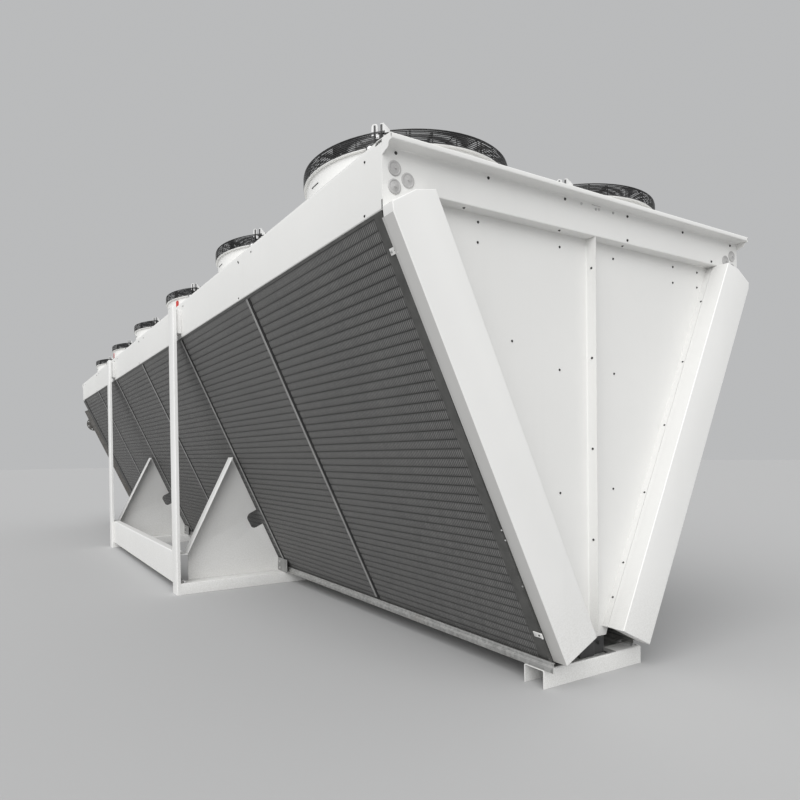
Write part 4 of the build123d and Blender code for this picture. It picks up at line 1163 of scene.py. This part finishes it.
# dark upright behind the foot of the near V-shaped panel, with its fixing
s = Shape()
for end, y0 in ((-1, YN), (1, YF)):
    s.fold(
        [(-0.085, y0 - end * 0.034), (0.012, y0 - end * 0.034), (0.012, y0 - end * 0.044), (0.091, y0 - end * 0.044), (0.091, y0 - end * 0.078)],
        along_z, 0.0874, 0.1640, thick=0.003, radius=0.004, turn=1 if end < 0 else -1, steps=3,
    )
    s.prism([(0.086, y0 - end * 0.030), (0.100, y0 - end * 0.030), (0.100, y0 - end * 0.060), (0.092, y0 - end * 0.060), (0.092, y0 - end * 0.039), (0.086, y0 - end * 0.039)], along_z, 0.0873, 0.0903)
    s.bolt((0.050, y0 - end * 0.0405, 0.140), (0, end, 0), 0.006, 1)
s.make("vee_uprights", [M_BRACKET, M_DARK_SCREW])

# -------------------------------------------------- materials of the kept nodes
KEPT = {
    "white_panel": M_PANEL, "white_cover": M_COVER, "white_frame": M_FRAME,
    "galvanised_sheet": M_GALV_DULL, "divider_bar": M_BAR, "coil_fins": M_FINS,
    "guard_wire": M_WIRE, "impeller_plastic": M_ROTOR, "motor_housing": M_MOTOR,
    "bracket_steel": M_BRACKET, "header_pipe": M_PIPE,
}
for part in frame["record"]["subparts"]:
    ob = frame["nodes"].get(part["node"])
    if ob is None:
        continue
    ob.data.materials.clear()
    ob.data.materials.append(KEPT[part["material_slot"]])

# ------------------------------------------------------------ camera and stage
yaw, pit, rol = radians(30.2028), radians(-0.7856), radians(-0.7540)
fw = Vector((sin(yaw) * cos(pit), cos(yaw) * cos(pit), sin(pit)))
rt = Vector((cos(yaw), -sin(yaw), 0))
up = rt.cross(fw)
r2 = rt * cos(rol) + up * sin(rol)
u2 = -rt * sin(rol) + up * cos(rol)
cam_data = bpy.data.cameras.new("camera")
cam_data.sensor_width = 36.0
cam_data.lens = 625.517 / 800 * 36
cam_data.shift_x = (400 - 356.346) / 800
cam_data.shift_y = (462.709 - 400) / 800
cam_data.clip_end = 200
cam = bpy.data.objects.new("camera", cam_data)
mat = Matrix.Identity(4)
for i, axis in enumerate((r2, u2, -fw)):
    for j in range(3):
        mat[j][i] = axis[j]
mat.translation = Vector((-2.3898, -6.2933, 1.0369))
cam.matrix_world = mat
bpy.context.scene.collection.objects.link(cam)
bpy.context.scene.camera = cam

me = bpy.data.meshes.new("floor")
me.from_pydata([(-60, -60, -0.0005), (60, -60, -0.0005), (60, 60, -0.0005), (-60, 60, -0.0005)], [], [[0, 1, 2, 3]])
floor = bpy.data.objects.new("floor", me)
fm, fnt, fbs = new_mat("floor_pale")
fbs.inputs["Base Color"].default_value = (0.44, 0.44, 0.44, 1)
fbs.inputs["Roughness"].default_value = 0.9
me.materials.append(fm)
bpy.context.scene.collection.objects.link(floor)


def soft_sun(name, towards, strength, spread):
    d = bpy.data.lights.new(name, "SUN")
    d.energy = strength
    d.angle = radians(spread)
    o = bpy.data.objects.new(name, d)
    o.rotation_euler = Vector(towards).to_track_quat("-Z", "Y").to_euler()
    bpy.context.scene.collection.objects.link(o)


soft_sun("key", (1.0, 0.9, -1.25), 2.98, 70)
world = bpy.data.worlds.new("studio")
bpy.context.scene.world = world
world.use_nodes = True
bg = world.node_tree.nodes.get("Background") or world.node_tree.nodes.new("ShaderNodeBackground")
bg.inputs[0].default_value = (0.98, 0.99, 1.0, 1)
bg.inputs[1].default_value = 0.50
bpy.context.scene.view_settings.view_transform = "Standard"
